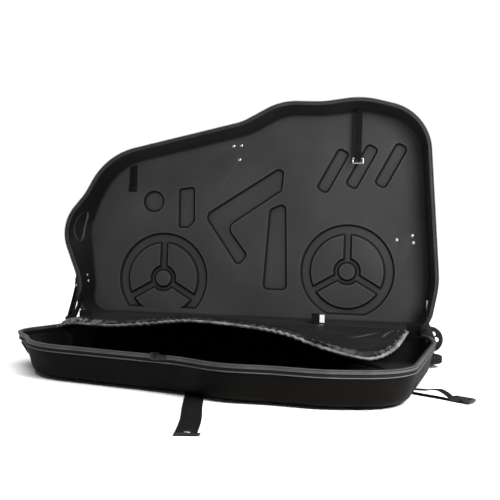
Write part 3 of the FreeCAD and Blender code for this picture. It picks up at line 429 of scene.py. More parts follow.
def webbing_weave(name, source):
    """Ribbed webbing. The UV map runs along the strap and across it, in metres."""
    finish = Finish(name, grey(WEB_DARK), 0.75, specular=0.06)
    ribs = finish.wave(WEB_RIB * MM, "X", source)
    rows = finish.wave(WEB_RIB * 1.3 * MM, "DIAGONAL", source)
    weave = finish.mix(ribs, rows, 0.4)
    stops = ((0.25, WEB_DARK * 0.7), (0.55, WEB_DARK), (0.85, WEB_LIGHT))
    return finish.woven(weave, finish.noise(60.0, 5.0), 0.3, stops, (0.65, 0.85), (0.0004, 0.8))


def pad_nylon():
    """Black nylon over foam, with a painted highlight on the crests of its folds."""
    finish = Finish("pad_nylon", grey(0.004), 0.34, specular=0.28)
    patches = finish.noise(9.0, 5.0)
    weave = finish.noise(800.0, 2.0)
    creases = finish.noise(55.0, 6.0)
    cloth = finish.ramp(finish.mix(patches, weave, 0.3),
                        ((0.3, 0.002), (0.55, (0.0036, 0.0032, 0.003)), (0.8, (0.009, 0.007, 0.006))))
    # Painted highlight: the crests of the gathers and folds are painted paler.
    rubbed = finish.ramp(finish.value("painted_crest_highlight"), ((0.15, 0.0), (0.55, 0.012), (1.0, 0.05)))
    finish.link(finish.mix(cloth, rubbed, 1.0, "ADD"), finish.shader.inputs["Base Color"])
    finish.roughness(patches, 0.27, 0.4)
    finish.bump(creases, 0.002, 0.25)
    finish.bump(weave, 0.0003, 0.5)
    return finish.material


def bound_edge():
    """Grey tape folded round the pad's edge, paler in random patches."""
    finish = Finish("bound_edge", grey(0.08), 0.5, specular=0.4)
    stops = ((0.3, 0.012), (0.48, 0.06), (0.62, 0.16), (0.8, 0.30))
    return finish.woven(finish.wave(1.6 * MM, "X"), finish.noise(30.0, 7.0), 0.75, stops,
                        (0.36, 0.6), (0.0003, 0.8))


def rim_tape(name, tone):
    """Grey binding sewn round the rim."""
    finish = Finish(name, grey(tone, 0.02), 0.6, specular=0.2)
    weave = finish.noise(700.0, 2.0)
    wear = finish.noise(24.0, 6.0)
    finish.colour(finish.mix(finish.mix(wear, weave, 0.3), finish.rub(0.5, 0.6), 0.25),
                  ((0.3, grey(tone * 0.5, 0.02)), (0.55, grey(tone, 0.02)), (0.85, grey(tone * 2.4))))
    finish.roughness(wear, 0.5, 0.7)
    finish.bump(weave, 0.0003, 0.6)
    return finish.material


def zip_cloth():
    """Black twill of the zip tape."""
    finish = Finish("zip_cloth", grey(0.006), 0.75, specular=0.1)
    stops = ((0.3, 0.004), (0.6, 0.006), (0.85, 0.016))
    return finish.woven(finish.wave(1.4 * MM, "DIAGONAL"), finish.noise(45.0, 5.0), 0.5, stops,
                        (0.65, 0.85), (0.0002, 0.6))


def patchy(name, tone, roughness, specular, noise, stops, rough):
    """One colour in lighter and darker patches, rougher where it is lighter."""
    finish = Finish(name, grey(tone), roughness, specular=specular)
    patches = finish.noise(*noise)
    finish.colour(patches, stops)
    finish.roughness(patches, *rough)
    return finish


def zip_nylon():
    return patchy("zip_nylon", 0.012, 0.4, 0.35, (90.0, 3.0),
                  ((0.35, 0.008), (0.7, 0.02)), (0.3, 0.5)).material


def moulded_plastic():
    """Black moulded plastic with a fine spark-eroded grain and scuffed edges."""
    finish = Finish("moulded_plastic", grey(0.006), 0.45, specular=0.25)
    grain = finish.noise(1400.0, 2.0)
    scuff = finish.noise(40.0, 7.0)
    finish.colour(finish.mix(scuff, finish.rub(0.52, 0.64), 0.25),
                  ((0.3, 0.004), (0.55, 0.006), (0.85, 0.02)))
    finish.roughness(scuff, 0.32, 0.55)
    finish.bump(grain, 0.00015, 0.6)
    return finish.material


def pale_plastic():
    """Grey moulded plastic of the stay's buckle."""
    finish = patchy("pale_plastic", 0.16, 0.5, 0.45, (50.0, 6.0),
                    ((0.3, 0.10), (0.6, 0.16), (0.85, 0.24)), (0.38, 0.6))
    finish.bump(finish.noise(1200.0, 2.0), 0.00015, 0.5)
    return finish.material


def tread_rubber():
    finish = patchy("tread_rubber", 0.007, 0.75, 0.15, (70.0, 6.0),
                    ((0.35, 0.005), (0.6, 0.008), (0.8, grey(0.022, 0.04))), (0.6, 0.88))
    finish.bump(finish.noise(500.0, 3.0), 0.0003, 0.6)
    return finish.material


def plated_steel():
    finish = Finish("plated_steel", grey(0.62), 0.28, metallic=1.0)
    brush = finish.noise(260.0, 4.0, stretch=(1.0, 1.0, 0.05))
    marks = finish.noise(30.0, 6.0)
    finish.colour(marks, ((0.3, 0.5), (0.55, 0.63), (0.8, 0.72)))
    finish.roughness(finish.mix(brush, marks, 0.5), 0.2, 0.42)
    finish.bump(brush, 0.0001, 0.4)
    return finish.material


def white_label():
    finish = Finish("white_label", grey(0.75), 0.8, specular=0.2)
    stops = ((0.25, grey(0.6, 0.01)), (0.6, 0.74), (0.9, 0.8))
    return finish.woven(finish.wave(0.8 * MM, "Z"), finish.noise(80.0, 5.0), 0.6, stops,
                        (0.7, 0.9), (0.0002, 0.6))


def sewing_thread():
    return patchy("sewing_thread", 0.02, 0.7, 0.15, (900.0, 2.0),
                  ((0.35, 0.010), (0.7, 0.03)), (0.6, 0.8)).material


LINING = lining_cloth()
SKIN = shell_skin()
WEBBING = webbing_weave("black_webbing", "UV")
FOLDED_WEB = webbing_weave("folded_webbing", "Object")
NYLON = pad_nylon()
BOUND = bound_edge()
# The front tape is the same binding painted paler, a painted highlight where the front rim faces up; the front
# piping and bead use it.
RIM_TAPE = {"back": rim_tape("dark_rim_tape", 0.022), "front": rim_tape("painted_lit_rim_tape", 0.085)}
ZIP_CLOTH = zip_cloth()
# The front half's piping takes the paler front tape, a painted highlight.
PIPING_CLOTH = {"back": ZIP_CLOTH, "front": RIM_TAPE["front"]}
ZIP_NYLON = zip_nylon()
PLASTIC = moulded_plastic()
PALE = pale_plastic()
RUBBER = tread_rubber()
STEEL = plated_steel()
LABEL = white_label()
THREAD = sewing_thread()


# Rim line: corners of the outline with their rounds, counter-clockwise from the bottom left
RIM = ((-556, 0, 75), (561, 0, 75), (588, 150, 260), (546, 664, 155), (345, 713, 260),
       (225, 696, 300), (93, 699, 190), (-27, 634, 160), (-470, 527, 215), (-536, 402, 220),
       (-620, 300, 128), (-546, 120, 130))
TRIM_END = 12.0


def rim_polyline():
    points = []
    for i, (u, v, radius) in enumerate(RIM):
        corner = Vector((u, v))
        came = (corner - Vector(RIM[i - 1][:2])).normalized()
        goes = (Vector(RIM[(i + 1) % len(RIM)][:2]) - corner).normalized()
        turn = math.atan2(came.x * goes.y - came.y * goes.x, came.dot(goes))
        side = 1 if turn > 0 else -1
        start = corner - came * radius * math.tan(abs(turn) / 2)
        centre = start + Vector((-came.y, came.x)) * side * radius
        steps = max(3, int(abs(turn) * radius / 5))
        for k in range(steps + 1):
            points.append(centre + Matrix.Rotation(turn * k / steps, 2) @ (start - centre))
    return points


def along(points, pitch, closed=False):
    """Points a pitch apart along a line, each with the direction there."""
    if closed:
        points = points + points[:1]
    spots = []
    left = pitch / 2
    for a, b in zip(points, points[1:]):
        run = (b - a).length
        if run < 1e-9:
            continue
        way = (b - a) / run
        while left <= run:
            spots.append((a + way * left, way))
            left += pitch
        left -= run
    return spots


RIM_POINTS = rim_polyline()


def rim_matrices(half, pitch, outset, depth):
    """Places round one half's rim: X along the rim, Y into the depth, Z square to both."""
    place, side = HALVES[half]
    made = []
    for point, way in along(RIM_POINTS, pitch, closed=True):
        out = Vector((way.y, -way.x))
        spot = point + out * outset
        if spot.y < TRIM_END:
            continue
        x = Vector((way.x, 0, way.y))
        y = Vector((0, side, 0))
        z = x.cross(y)
        turn = Matrix((x, y, z)).transposed().to_4x4()
        made.append(place @ Matrix.Translation(Vector((spot.x, side * depth, spot.y)) * MM) @ turn)
    return made


# Shells: the CAD form with soft edges, cloth lining inside and skin outside

# Painted shade in the lining's tone: darker on the drawn walls, paler on the tail wall and darker on the nose wall
# as painted light from one side, and dark in the creases round the raised forms and under the rim. The lengths
# tell how far from the rim a crease counts, and how deep the rim is.
WALL_SHADE = 0.22
WALL_SIDE_SHADE = 0.8
CREASE_SHADE = 0.12
CREASE_CLEAR = 75.0
HINGE_CLEAR = 42.0
HINGE_ZONE = 130.0
RIM_DEPTH = 10.0
# Painted shade: the front half's lining is painted darker than the back's.
HALF_SHADE = {"back": 1.0, "front": 0.4}
# How squarely a face looks at the rim plane: from wall to panel, and less than the flat panel
WALL_FACING = 0.5
PANEL_FACING = 0.96
FLAT_FACING = 0.975
# Faces squarer to the wall than this are lining or skin by the side of the wall they are on
WALL_SHARE = 0.35


def shell(half):
    node = half + "_shell"
    piece = node_copy(node, half + "_shell_board")
    rounded(piece, 2.4, 3, 24)
    smooth(piece, 30)
    place, side = HALVES[half]
    back_to_half = place.inverted()
    spots = along(RIM_POINTS, 6.0, closed=True)
    tree = nearest([(point.x, point.y, 0) for point, way in spots])
    piece.data.materials.clear()
    piece.data.materials.append(LINING)
    piece.data.materials.append(SKIN)
    turn = back_to_half.to_3x3()
    tone = piece.data.attributes.new("tone", "FLOAT", "CORNER")
    for face in piece.data.polygons:
        normal = turn @ face.normal
        facing = -normal.y * side
        inward = facing
        centre = back_to_half @ face.center / MM
        _, i, clear = tree.find((centre.x, centre.z, 0))
        if abs(facing) < WALL_SHARE:
            way = spots[i][1]
            inward = normal.x * -way.y + normal.z * way.x
        face.material_index = 0 if inward > 0 else 1
        # Painted shade on the walls, painted paler on the tail wall and darker on the nose wall by which way each
        # faces.
        share = ease((facing - WALL_FACING) / (PANEL_FACING - WALL_FACING))
        wall = WALL_SHADE * (1 - WALL_SIDE_SHADE * normal.x)
        value = wall + (1 - wall) * share * share
        # Painted shade: creases round the raised forms and the lining just under the rim are painted dark.
        crease = clear > (CREASE_CLEAR if centre.z > HINGE_ZONE else HINGE_CLEAR) and facing < FLAT_FACING
        if crease or centre.y * side < RIM_DEPTH:
            value = CREASE_SHADE
        # Painted shade: the front half's lining is painted darker.
        value *= HALF_SHADE[half]
        for loop in face.loop_indices:
            tone.data[loop].value = value
    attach(piece, BODY_OF[node])
    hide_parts(node)


# Rim trim: folded binding, twill tape with a bead, zip teeth and two rows of stitches

def stitch(name, length=4.0, width=1.0, height=0.7):
    """One stitch of thread: a bar with its ends drawn down."""
    piece = block(name, length, width, height)
    open_up(piece)
    pick_faces(piece, lambda centre, normal: abs(normal.x) > 0.9)
    bpy.ops.transform.resize(value=(1, 0.6, 0.4))
    bpy.ops.mesh.select_all(action="SELECT")
    bpy.ops.mesh.bevel(offset=0.22 * MM, segments=1, affect="EDGES")
    close_up()
    return piece


def zip_tooth(name):
    """One turn of the zip's coil: a bar with a thicker head."""
    piece = block(name, 1.5, 2.2, 1.7)
    open_up(piece)
    pick_faces(piece, lambda centre, normal: normal.y < -0.9)
    bpy.ops.mesh.extrude_region_move(TRANSFORM_OT_translate={"value": (0, -0.5 * MM, 0)})
    bpy.ops.transform.resize(value=(1.35, 1, 0.8))
    bpy.ops.mesh.select_all(action="SELECT")
    bpy.ops.mesh.bevel(offset=0.2 * MM, segments=1, affect="EDGES")
    close_up()
    return piece


def line_curve(name, points, closed=False):
    """A plain line through points in metres, for sweeping a profile along."""
    data = bpy.data.curves.new(name, "CURVE")
    data.dimensions = "3D"
    data.twist_mode = "Z_UP"
    spline = data.splines.new("POLY")
    spline.points.add(len(points) - 1)
    for spot, point in zip(spline.points, points):
        spot.co = (*point, 1)
    spline.use_cyclic_u = closed
    return put(name, data)


def swept(name, points, profile):
    """The profile, given in millimetres as out and up, swept along the points."""
    shape = line_curve(name + "_profile", [(x * MM, y * MM, 0) for x, y in profile], closed=True)
    path = line_curve(name, points)
    path.data.bevel_mode = "OBJECT"
    path.data.bevel_object = shape
    path.data.use_fill_caps = True
    take(path)
    bpy.ops.object.convert(target="MESH")
    piece = bpy.context.object
    bpy.data.objects.remove(shape)
    return outward(piece)


def at_trim_end(a, b):
    """Where the rim line from a to b passes the end of the trim."""
    return a.lerp(b, (TRIM_END - a.y) / (b.y - a.y))


def open_rim():
    """The rim line from one end of the trim to the other, in metres on a flat sheet."""
    below = [i for i, point in enumerate(RIM_POINTS) if point.y <= TRIM_END]
    left, right = below[0], below[-1]
    points = RIM_POINTS[right + 1:] + RIM_POINTS[:left]
    points.insert(0, at_trim_end(RIM_POINTS[right], points[0]))
    points.append(at_trim_end(points[-1], RIM_POINTS[left]))
    return [Vector((point.x, point.y, 0)) * MM for point in points]


def on_rim(piece, half):
    """Put a piece swept on the flat sheet onto the half: sheet height becomes depth."""
    place, side = HALVES[half]
    swap = Matrix(((1, 0, 0, 0), (0, 0, side, 0), (0, 1, 0, 0), (0, 0, 0, 1)))
    moved(piece, place @ swap)
    return outward(piece)


# Profiles round the rim: out from the outline and down from the rim plane
FOLDED_TAPE = ((-11.0, 8.5), (-11.2, 2.0), (-10.4, 0.6), (-9.0, 0.25), (-5.0, 0.15), (-3.6, 0.3),
               (-3.2, 0.75), (-10.1, 0.75), (-10.1, 8.5))
PIPING = ((-3.4, 0.7), (-2.4, 0.35), (-0.9, 0.7), (-0.1, 2.0), (0.0, 5.0), (-0.3, 8.6), (-1.2, 9.5),
          (-3.9, 9.5), (-3.9, 0.9))
TWILL = ((-2.3, 9.3), (-2.3, 18.9), (-3.95, 18.9), (-3.95, 9.3))
BEAD = ((-2.0, 17.6), (-1.3, 18.0), (-1.0, 18.8), (-1.3, 19.6), (-2.0, 20.0), (-3.6, 20.0), (-3.6, 17.6))
STITCH_PITCH = 7.0
TOOTH_PITCH = 3.2


def rim_trim(half):
    body = half + "_half"
    line = open_rim()
    for name, profile, angle, material, slot, nodes in (
            ("_rim_fold", FOLDED_TAPE, 40, RIM_TAPE["back"], "binding", [half + "_rim_binding"]),
            ("_rim_piping", PIPING, 40, PIPING_CLOTH[half], "binding", []),
            ("_zip_twill", TWILL, 35, ZIP_CLOTH, "zip", [half + "_zip_tape"]),
            ("_tape_bead", BEAD, 50, RIM_TAPE[half], "binding", [])):
        piece = smooth(on_rim(swept(half + name, line, profile), half), angle)
        finished(piece, material, slot, body, *nodes)
    teeth = copies(half + "_zip_teeth", zip_tooth("tooth"), rim_matrices(half, TOOTH_PITCH, 1.0, 2.1))
    finished(smooth(teeth), ZIP_NYLON, "zip", body, half + "_zip_coil")
    rows = rim_matrices(half, STITCH_PITCH, 0.1, 7.0) + rim_matrices(half, STITCH_PITCH, -2.2, 15.5)
    finished(smooth(copies(half + "_rim_stitches", stitch("stitch"), rows)), THREAD, "binding", body)


# Shells first, then their trim, then the hinge: three tapes with their loops, and the cord

for half in HALVES:
    shell(half)
for half in HALVES:
    rim_trim(half)
for half in HALVES:
    softened(half + "_hinge_tape", half + "_hinge_loops", ZIP_CLOTH, "webbing", 0.3, 1)
softened("divider_tape", "divider_loops", ZIP_CLOTH, "webbing", 0.2, 1)
softened("hinge_cord", "hinge_rope", ZIP_CLOTH, "webbing", 0.6, 2)


# Webbing

def flow(points, steps=8):
    """A smooth line through a few points."""
    points = [Vector(p) for p in points]
    ends = [2 * points[0] - points[1]] + points + [2 * points[-1] - points[-2]]
    line = []
    for i in range(len(points) - 1):
        a, b, c, d = ends[i:i + 4]
        for k in range(steps):
            t = k / steps
            line.append(0.5 * (2 * b + (c - a) * t + (2 * a - 5 * b + 4 * c - d) * t * t
                               + (3 * b - a - 3 * c + d) * t ** 3))
    return line + [points[-1]]


def ribbon(name, line, across, width, thick):
    """A band of webbing: one edge extruded along the line, then thickened. Sizes in millimetres."""
    fresh()
    bpy.ops.mesh.primitive_plane_add(size=1)
    piece = bpy.context.object
    piece.name = name
    half = Vector(across).normalized() * width * MM / 2
    for vertex, (spot, side) in zip(piece.data.vertices, ((0, -1), (0, 1), (1, -1), (1, 1))):
        vertex.co = line[spot] + half * side
    open_up(piece)
    pick_edges(piece, lambda a, b: all(min((c - line[1] - half).length, (c - line[1] + half).length)
                                       < 1e-6 for c in (a, b)))
    for before, after in zip(line[1:], line[2:]):
        bpy.ops.mesh.extrude_region_move(TRANSFORM_OT_translate={"value": after - before})
    close_up()
    run = runs(line)
    side = half.normalized()
    places = nearest([point + half for point in line] + [point - half for point in line])
    weave = piece.data.uv_layers.new(name="weave")
    for loop in piece.data.loops:
        spot = piece.data.vertices[loop.vertex_index].co
        i = places.find(spot)[1] % len(line)
        weave.data[loop.index].uv = (run[i], (spot - line[i]).dot(side))
    modifier(piece, "SOLIDIFY", thickness=thick * MM, offset=0.0)
    rounded(piece, min(0.5, thick / 3), 2, 50)
    return smooth(piece, 40)


def sewn_box(name, centre, along_way, across_way, length, width, body):
    """A box of stitches with a cross in it, lying on a strap."""
    x = Vector(along_way).normalized()
    y = Vector(across_way).normalized()
    z = x.cross(y)
    base = Matrix((x, y, z)).transposed()
    corners = [Vector((a * length / 2, b * width / 2)) for a, b in ((-1, -1), (1, -1), (1, 1), (-1, 1))]
    rows = list(zip(corners, corners[1:] + corners[:1]))
    rows += [(corners[0], corners[2]), (corners[1], corners[3])]
    places = []
    for start, end in rows:
        for spot, way in along([start, end], 3.6):
            turn = base @ Matrix((way.to_3d(), Vector((-way.y, way.x, 0)), Vector((0, 0, 1)))).transposed()
            point = Vector(centre) + base @ (spot.to_3d() * MM)
            places.append(Matrix.Translation(point) @ turn.to_4x4())
    piece = copies(name, stitch(name + "_one", 2.8, 0.8, 0.7), places)
    return finished(smooth(piece), THREAD, "webbing", body)


WEB_WIDTH = 25
WEB_THICK = 1.7
STAY_SPOT = (85, 14)
STAY_THICK = 1.8
STAY_SEWN = 12
STAY_STRAIGHT = 20
STAY_BOW = 3
STAY_FACE = 1.2


def stay(side, u):
    """A stay strap from the front half's block to the back half's, bowed a little inwards."""
    foot = at("front", u, *STAY_SPOT)
    top = at("back", u, *STAY_SPOT)
    way = (top - foot).normalized()
    face = Vector((-1 if u > 0 else 1, 0, 0))
    middle = (foot + top) / 2 + face * STAY_BOW * MM
    sewn = way * STAY_SEWN * MM
    straight = way * STAY_STRAIGHT * MM
    line = flow([foot - sewn, foot + straight, middle, top - straight, top + sewn], 6)
    piece = ribbon(side + "_stay_web", line, way.cross(Vector((1, 0, 0))), WEB_WIDTH, STAY_THICK)
    bent(piece, WEBBING, "front_half", "back_half", foot, top, side + "_stay")
    for half, place, lengthways in (("front", foot, -way), ("back", top, way)):
        sewn_box("%s_stay_%s_sewing" % (side, half), place + face * STAY_FACE * MM, lengthways,
                 face.cross(lengthways), 15, 17, half + "_half")


stay("left", -534)
stay("right", 557)


COVER_MIDDLE = 2.5
COVER_LENGTH = 1000
COVER_THICK = 1.0
COVER_WALL = ((1.6, 30), (1.5, 18), (-0.4, 10), (-3.8, 5.6))


def hinge_cover():
    """A strip of cloth behind the hinge, sewn to the outside of both halves."""
    line = [at("front", COVER_MIDDLE, v, w) for v, w in COVER_WALL]
    line += [at("back", COVER_MIDDLE, v, w) for v, w in reversed(COVER_WALL)]
    piece = ribbon("hinge_cover_cloth", flow(line, 4), (1, 0, 0), COVER_LENGTH, COVER_THICK)
    bent(piece, ZIP_CLOTH, "front_half", "back_half", line[1], line[-2])


hinge_cover()
for half in HALVES:
    softened(half + "_stay_tabs", half + "_stay_blocks", FOLDED_WEB, "webbing", 2.0, 3)


def strap(name, half, u, route, width, thick, node):
    """A strap straight away from the hinge at u, its route given as v and w. Returns its way."""
    line = [at(half, u, v, w) for v, w in route]
    piece = ribbon(name, line, (1, 0, 0), width, thick)
    finished(piece, WEBBING, "webbing", half + "_half", node)
    return at(half, 0, 100, 0) - at(half, 0, 0, 0)


# Where the top strap turns back round its ring
RING_V = 530
RING_W = 60.9
RING_BEND = 2.8


def inside_straps():
    """Webbing inside the back half: the hanging strap with its ring, the nose strap and the tab."""
    u = 330
    route = [(v, 60.0) for v in (687, 660, 630, 600, 570, 545, 533)]
    for k in range(7):
        turn = math.pi * k / 6
        route.append((RING_V - RING_BEND * math.sin(turn), RING_W - RING_BEND * math.cos(turn)))
    route += [(536, 62.8), (548, 62.2), (562, 61.9), (576, 61.9)]
    up = strap("top_strap_web", "back", u, route, 20, WEB_THICK, "top_strap")
    sewn_box("top_strap_sewing", at("back", u, 558, 59.0), up, (1, 0, 0), 24, 14, "back_half")

    u = -403.5
    route = ((437, 82.9), (428, 82.9), (421, 83.1), (419.2, 84.0), (421, 84.9), (430, 85.0),
             (450, 85.0), (470, 85.0), (490, 84.9), (505, 84.9))
    strap("nose_strap_web", "back", u, route, WEB_WIDTH, WEB_THICK, "nose_strap")
    sewn_box("nose_strap_sewing", at("back", u, 430, 82.0), up, (1, 0, 0), 10, 19, "back_half")

    u = 218.5
    route = ((12, 29.8), (24, 29.6), (38, 29.5), (44.5, 29.6), (47.3, 30.6), (44.5, 31.6),
             (38, 31.8), (24, 31.6), (13, 31.4))
    strap("bottom_tab_web", "back", u, route, WEB_WIDTH, 1.6, "bottom_tab")
    sewn_box("bottom_tab_sewing", at("back", u, 30, 28.7), up, (1, 0, 0), 18, 19, "back_half")


inside_straps()


def wheel_strap(side, u):
    """A strap across the floor of the front half, raised where its buckle sits."""
    route = ((71, 84.9), (90, 85.0), (200, 85.1), (320, 85.1), (328, 84.0), (345, 83.6), (362, 84.0),
             (370, 85.1), (410, 85.1), (424, 84.9), (429.5, 84.0), (425, 83.2), (412, 83.1))
    way = strap(side + "_wheel_strap_web", "front", u, route, WEB_WIDTH, WEB_THICK, side + "_wheel_strap")
    for v, w in ((84, 83.9), (418, 82.2)):
        sewn_box("%s_wheel_strap_sewing_%d" % (side, v), at("front", u, v, w), way, (-1, 0, 0), 14, 19,
                 "front_half")


WHEEL_STRAPS = {"nose": -318, "tail": 318}
for side, u in WHEEL_STRAPS.items():
    wheel_strap(side, u)


def pad_tie(side, width, line):
    """A tie of webbing on edge, from the pad's hinge corner towards the wall."""
    line = flow([at("front", u, v, -width / 2) for u, v in line], 6)
    piece = ribbon(side + "_pad_tie", line, (0, 0, 1), width, 1.6)
    finished(piece, WEBBING, "webbing", "divider")


pad_tie("nose", 34, ((-484, 30), (-496, 34), (-508, 41), (-517, 50)))
pad_tie("tail", 30, ((498, 30), (512, 35), (529, 44), (541, 57)))

# The wide strap lies on the ground in front of the case
WIDE_START = Vector((-2, 548))
WIDE_ANGLE = math.radians(13.3)
WIDE_WAY = Vector((math.sin(WIDE_ANGLE), math.cos(WIDE_ANGLE)))
GROUND = 99.0


def wide_point(run, height, aside=0.0):
    spot = WIDE_START + WIDE_WAY * run + Vector((WIDE_WAY.y, -WIDE_WAY.x)) * aside
    return at("front", spot.x, spot.y, GROUND - height)


def wide_strap():
    across = wide_point(0, 0, 10) - wide_point(0, 0, 0)
    line = flow([wide_point(run, height, aside) for run, height, aside in (
        (0, 1.1, 0), (90, 1.2, 0), (170, 2.2, 0), (245, 4.2, 1), (315, 1.6, 2), (380, 3.0, 1),
        (430, 1.5, -2), (477, 1.3, -5))], 6)
    piece = ribbon("wide_strap_web", line, across, 48, 2.0)
    finished(piece, WEBBING, "webbing", "front_half", "wide_strap")
    softened("wide_strap_anchor", "wide_strap_patch", FOLDED_WEB, "webbing", 0.8, 2)
    way = wide_point(10, 0) - wide_point(0, 0)
    sewn_box("wide_strap_sewing", wide_point(436, 3.0, -2), way, -across, 12, 36, "front_half")


wide_strap()

# The closing strap beside the tail: its own run along the ground
CLOSING_START = Vector((498, 388))
CLOSING_ANGLE = math.radians(33)
CLOSING_WAY = Vector((math.cos(CLOSING_ANGLE), math.sin(CLOSING_ANGLE)))


def closing_point(run, height, aside=0.0):
    spot = CLOSING_START + CLOSING_WAY * run + Vector((-CLOSING_WAY.y, CLOSING_WAY.x)) * aside
    return at("front", spot.x, spot.y, GROUND - height)


def closing_straps():
    across = closing_point(0, 0, 10) - closing_point(0, 0, 0)
    lower = flow([closing_point(run, height) for run, height in (
        (2, 1.0), (60, 1.0), (110, 1.6), (150, 1.1), (195, 1.0), (211, 1.4), (214.6, 5.0),
        (214.8, 9.6))], 5)
    piece = ribbon("closing_strap_under", lower, across, WEB_WIDTH, WEB_THICK)
    finished(piece, WEBBING, "webbing", "front_half", "closing_strap_lower")
    upper = flow([closing_point(run, height) for run, height in (
        (42, 10.6), (62, 12.6), (88, 15.0), (108, 19.0), (127, 20.8), (146, 15.0), (158, 9.0), (166, 7.4),
        (171, 7.2))], 5)
    piece = ribbon("closing_strap_over", upper, across, WEB_WIDTH, WEB_THICK)
    bent(piece, WEBBING, "front_half", "plug", closing_point(60, 12), closing_point(165, 7),
         "closing_strap_upper")
    softened("closing_strap_anchor", "closing_strap_patch", FOLDED_WEB, "webbing", 0.8, 2)


closing_straps()

# Buckles, rings, handle and other hard pieces

def ladder_buckle():
    """Grey buckle on the right stay: a frame with two bars."""
    centre = at("back", 553.6, *STAY_SPOT)
    piece = block("stay_ladder_buckle", 5, 24, 30)
    open_up(piece)
    pick_faces(piece, lambda c, n: abs(n.x) > 0.9)
    bpy.ops.mesh.inset(thickness=3.4 * MM, use_individual=True)
    bpy.ops.mesh.bridge_edge_loops()
    close_up()
    rounded(piece, 1.0, 3)
    bars = [rod("bar", 2.0, 18, 16, (0, 0, z), (math.pi / 2, 0, 0)) for z in (-4.5, 4.5)]
    piece = joined("stay_ladder_buckle", [piece] + [rounded(bar, 0.4, 2) for bar in bars])
    moved(piece, Matrix.Translation(centre) @ Matrix.Rotation(-LEAN, 4, "X"))
    finished(smooth(piece), PALE, "hard_plastic", "back_half", "stay_buckle")


ladder_buckle()


def cam_buckle(side, u):
    """Cam buckle on a wheel strap: a base with two cheeks and a ribbed lever."""
    base = block("base", 34, 30, 2.4, (0, 0, 1.2))
    rounded(base, 0.6, 2)
    cheeks = [rounded(block("cheek", 3.4, 22, 5.6, (x, 0, 4.0)), 1.0, 3) for x in (-15.2, 15.2)]
    lever = block("lever", 26, 24, 2.6, (0, 1, 5.2))
    open_up(lever)
    pick_faces(lever, lambda c, n: n.z > 0.9)
    bpy.ops.mesh.subdivide(number_cuts=6)
    pick_faces(lever, lambda c, n: n.z > 0.9 and int((c.y / MM + 20) / 3.5) % 2 == 0)
    bpy.ops.mesh.extrude_region_move(TRANSFORM_OT_translate={"value": (0, 0, 0.7 * MM)})
    close_up()
    rounded(lever, 0.35, 2)
    pin = rounded(rod("pin", 1.6, 33, 16, (0, -8, 4.4), (0, math.pi / 2, 0)), 0.3, 2)
    piece = joined(side + "_wheel_cam_buckle", [base] + cheeks + [lever, pin])
    spot = at("front", u, 345, 84.2)
    moved(piece, Matrix.Translation(spot) @ Matrix.Rotation(math.pi, 4, "Z"))
    finished(smooth(piece), PLASTIC, "hard_plastic", "front_half", side + "_wheel_buckle")


for side, u in WHEEL_STRAPS.items():
    cam_buckle(side, u)

# Hard pieces that keep the CAD form, with the width of their rounding

PLASTIC_PIECES = (("end_handle_bracket", "handle_block", 1.4),
                  ("upper_ring_plate", "upper_ring_base", 0.8),
                  ("tail_ring_plate", "tail_ring_base", 0.8),
                  ("buckle_socket", "closing_buckle_socket", 1.1),
                  ("buckle_plug", "closing_buckle_plug", 0.8),
                  ("zip_slider", "zip_slider_body", 0.6),
                  ("zip_pull", "zip_pull_tab", 0.5))
STEEL_PIECES = (("end_handle_pin", "handle_pin", 0.6),
                ("end_handle_rivets", "handle_rivet_heads", 0.9),
                ("upper_rivets", "upper_rivet_heads", 0.9),
                ("tail_rivets", "tail_rivet_heads", 0.9),
                ("upper_ring", "upper_dee_ring", 0),
                ("tail_ring", "tail_dee_ring", 0),
                ("top_strap_ring", "square_ring", 0),
                ("wide_strap_eyelet", "strap_eyelet", 0.4))
for node, name, width in PLASTIC_PIECES:
    softened(node, name, PLASTIC, "hard_plastic", width, 3)
for node, name, width in STEEL_PIECES:
    softened(node, name, STEEL, "steel", width, 3)
# The bar at the strap's end is dark, though its node's slot is steel
softened("wide_strap_end", "strap_end_bar", PLASTIC, "steel", 0.8, 3)


HANDLE_PIN = Vector((-564, 0, 108))
HANDLE_TILT = math.radians(13)
HANDLE_DEPTH = 46
HANDLE_BEND = 4.6
HANDLE_DROP = 112
HANDLE_STEPS = 12


def handle_end(height, start):
    """Half a turn of the loop round its pin or its grip."""
    line = []
    for k in range(HANDLE_STEPS + 1):
        turn = start + math.pi * k / HANDLE_STEPS
        line.append(Vector((HANDLE_BEND * math.cos(turn), HANDLE_DEPTH,
                            height + HANDLE_BEND * math.sin(turn))))
    return line


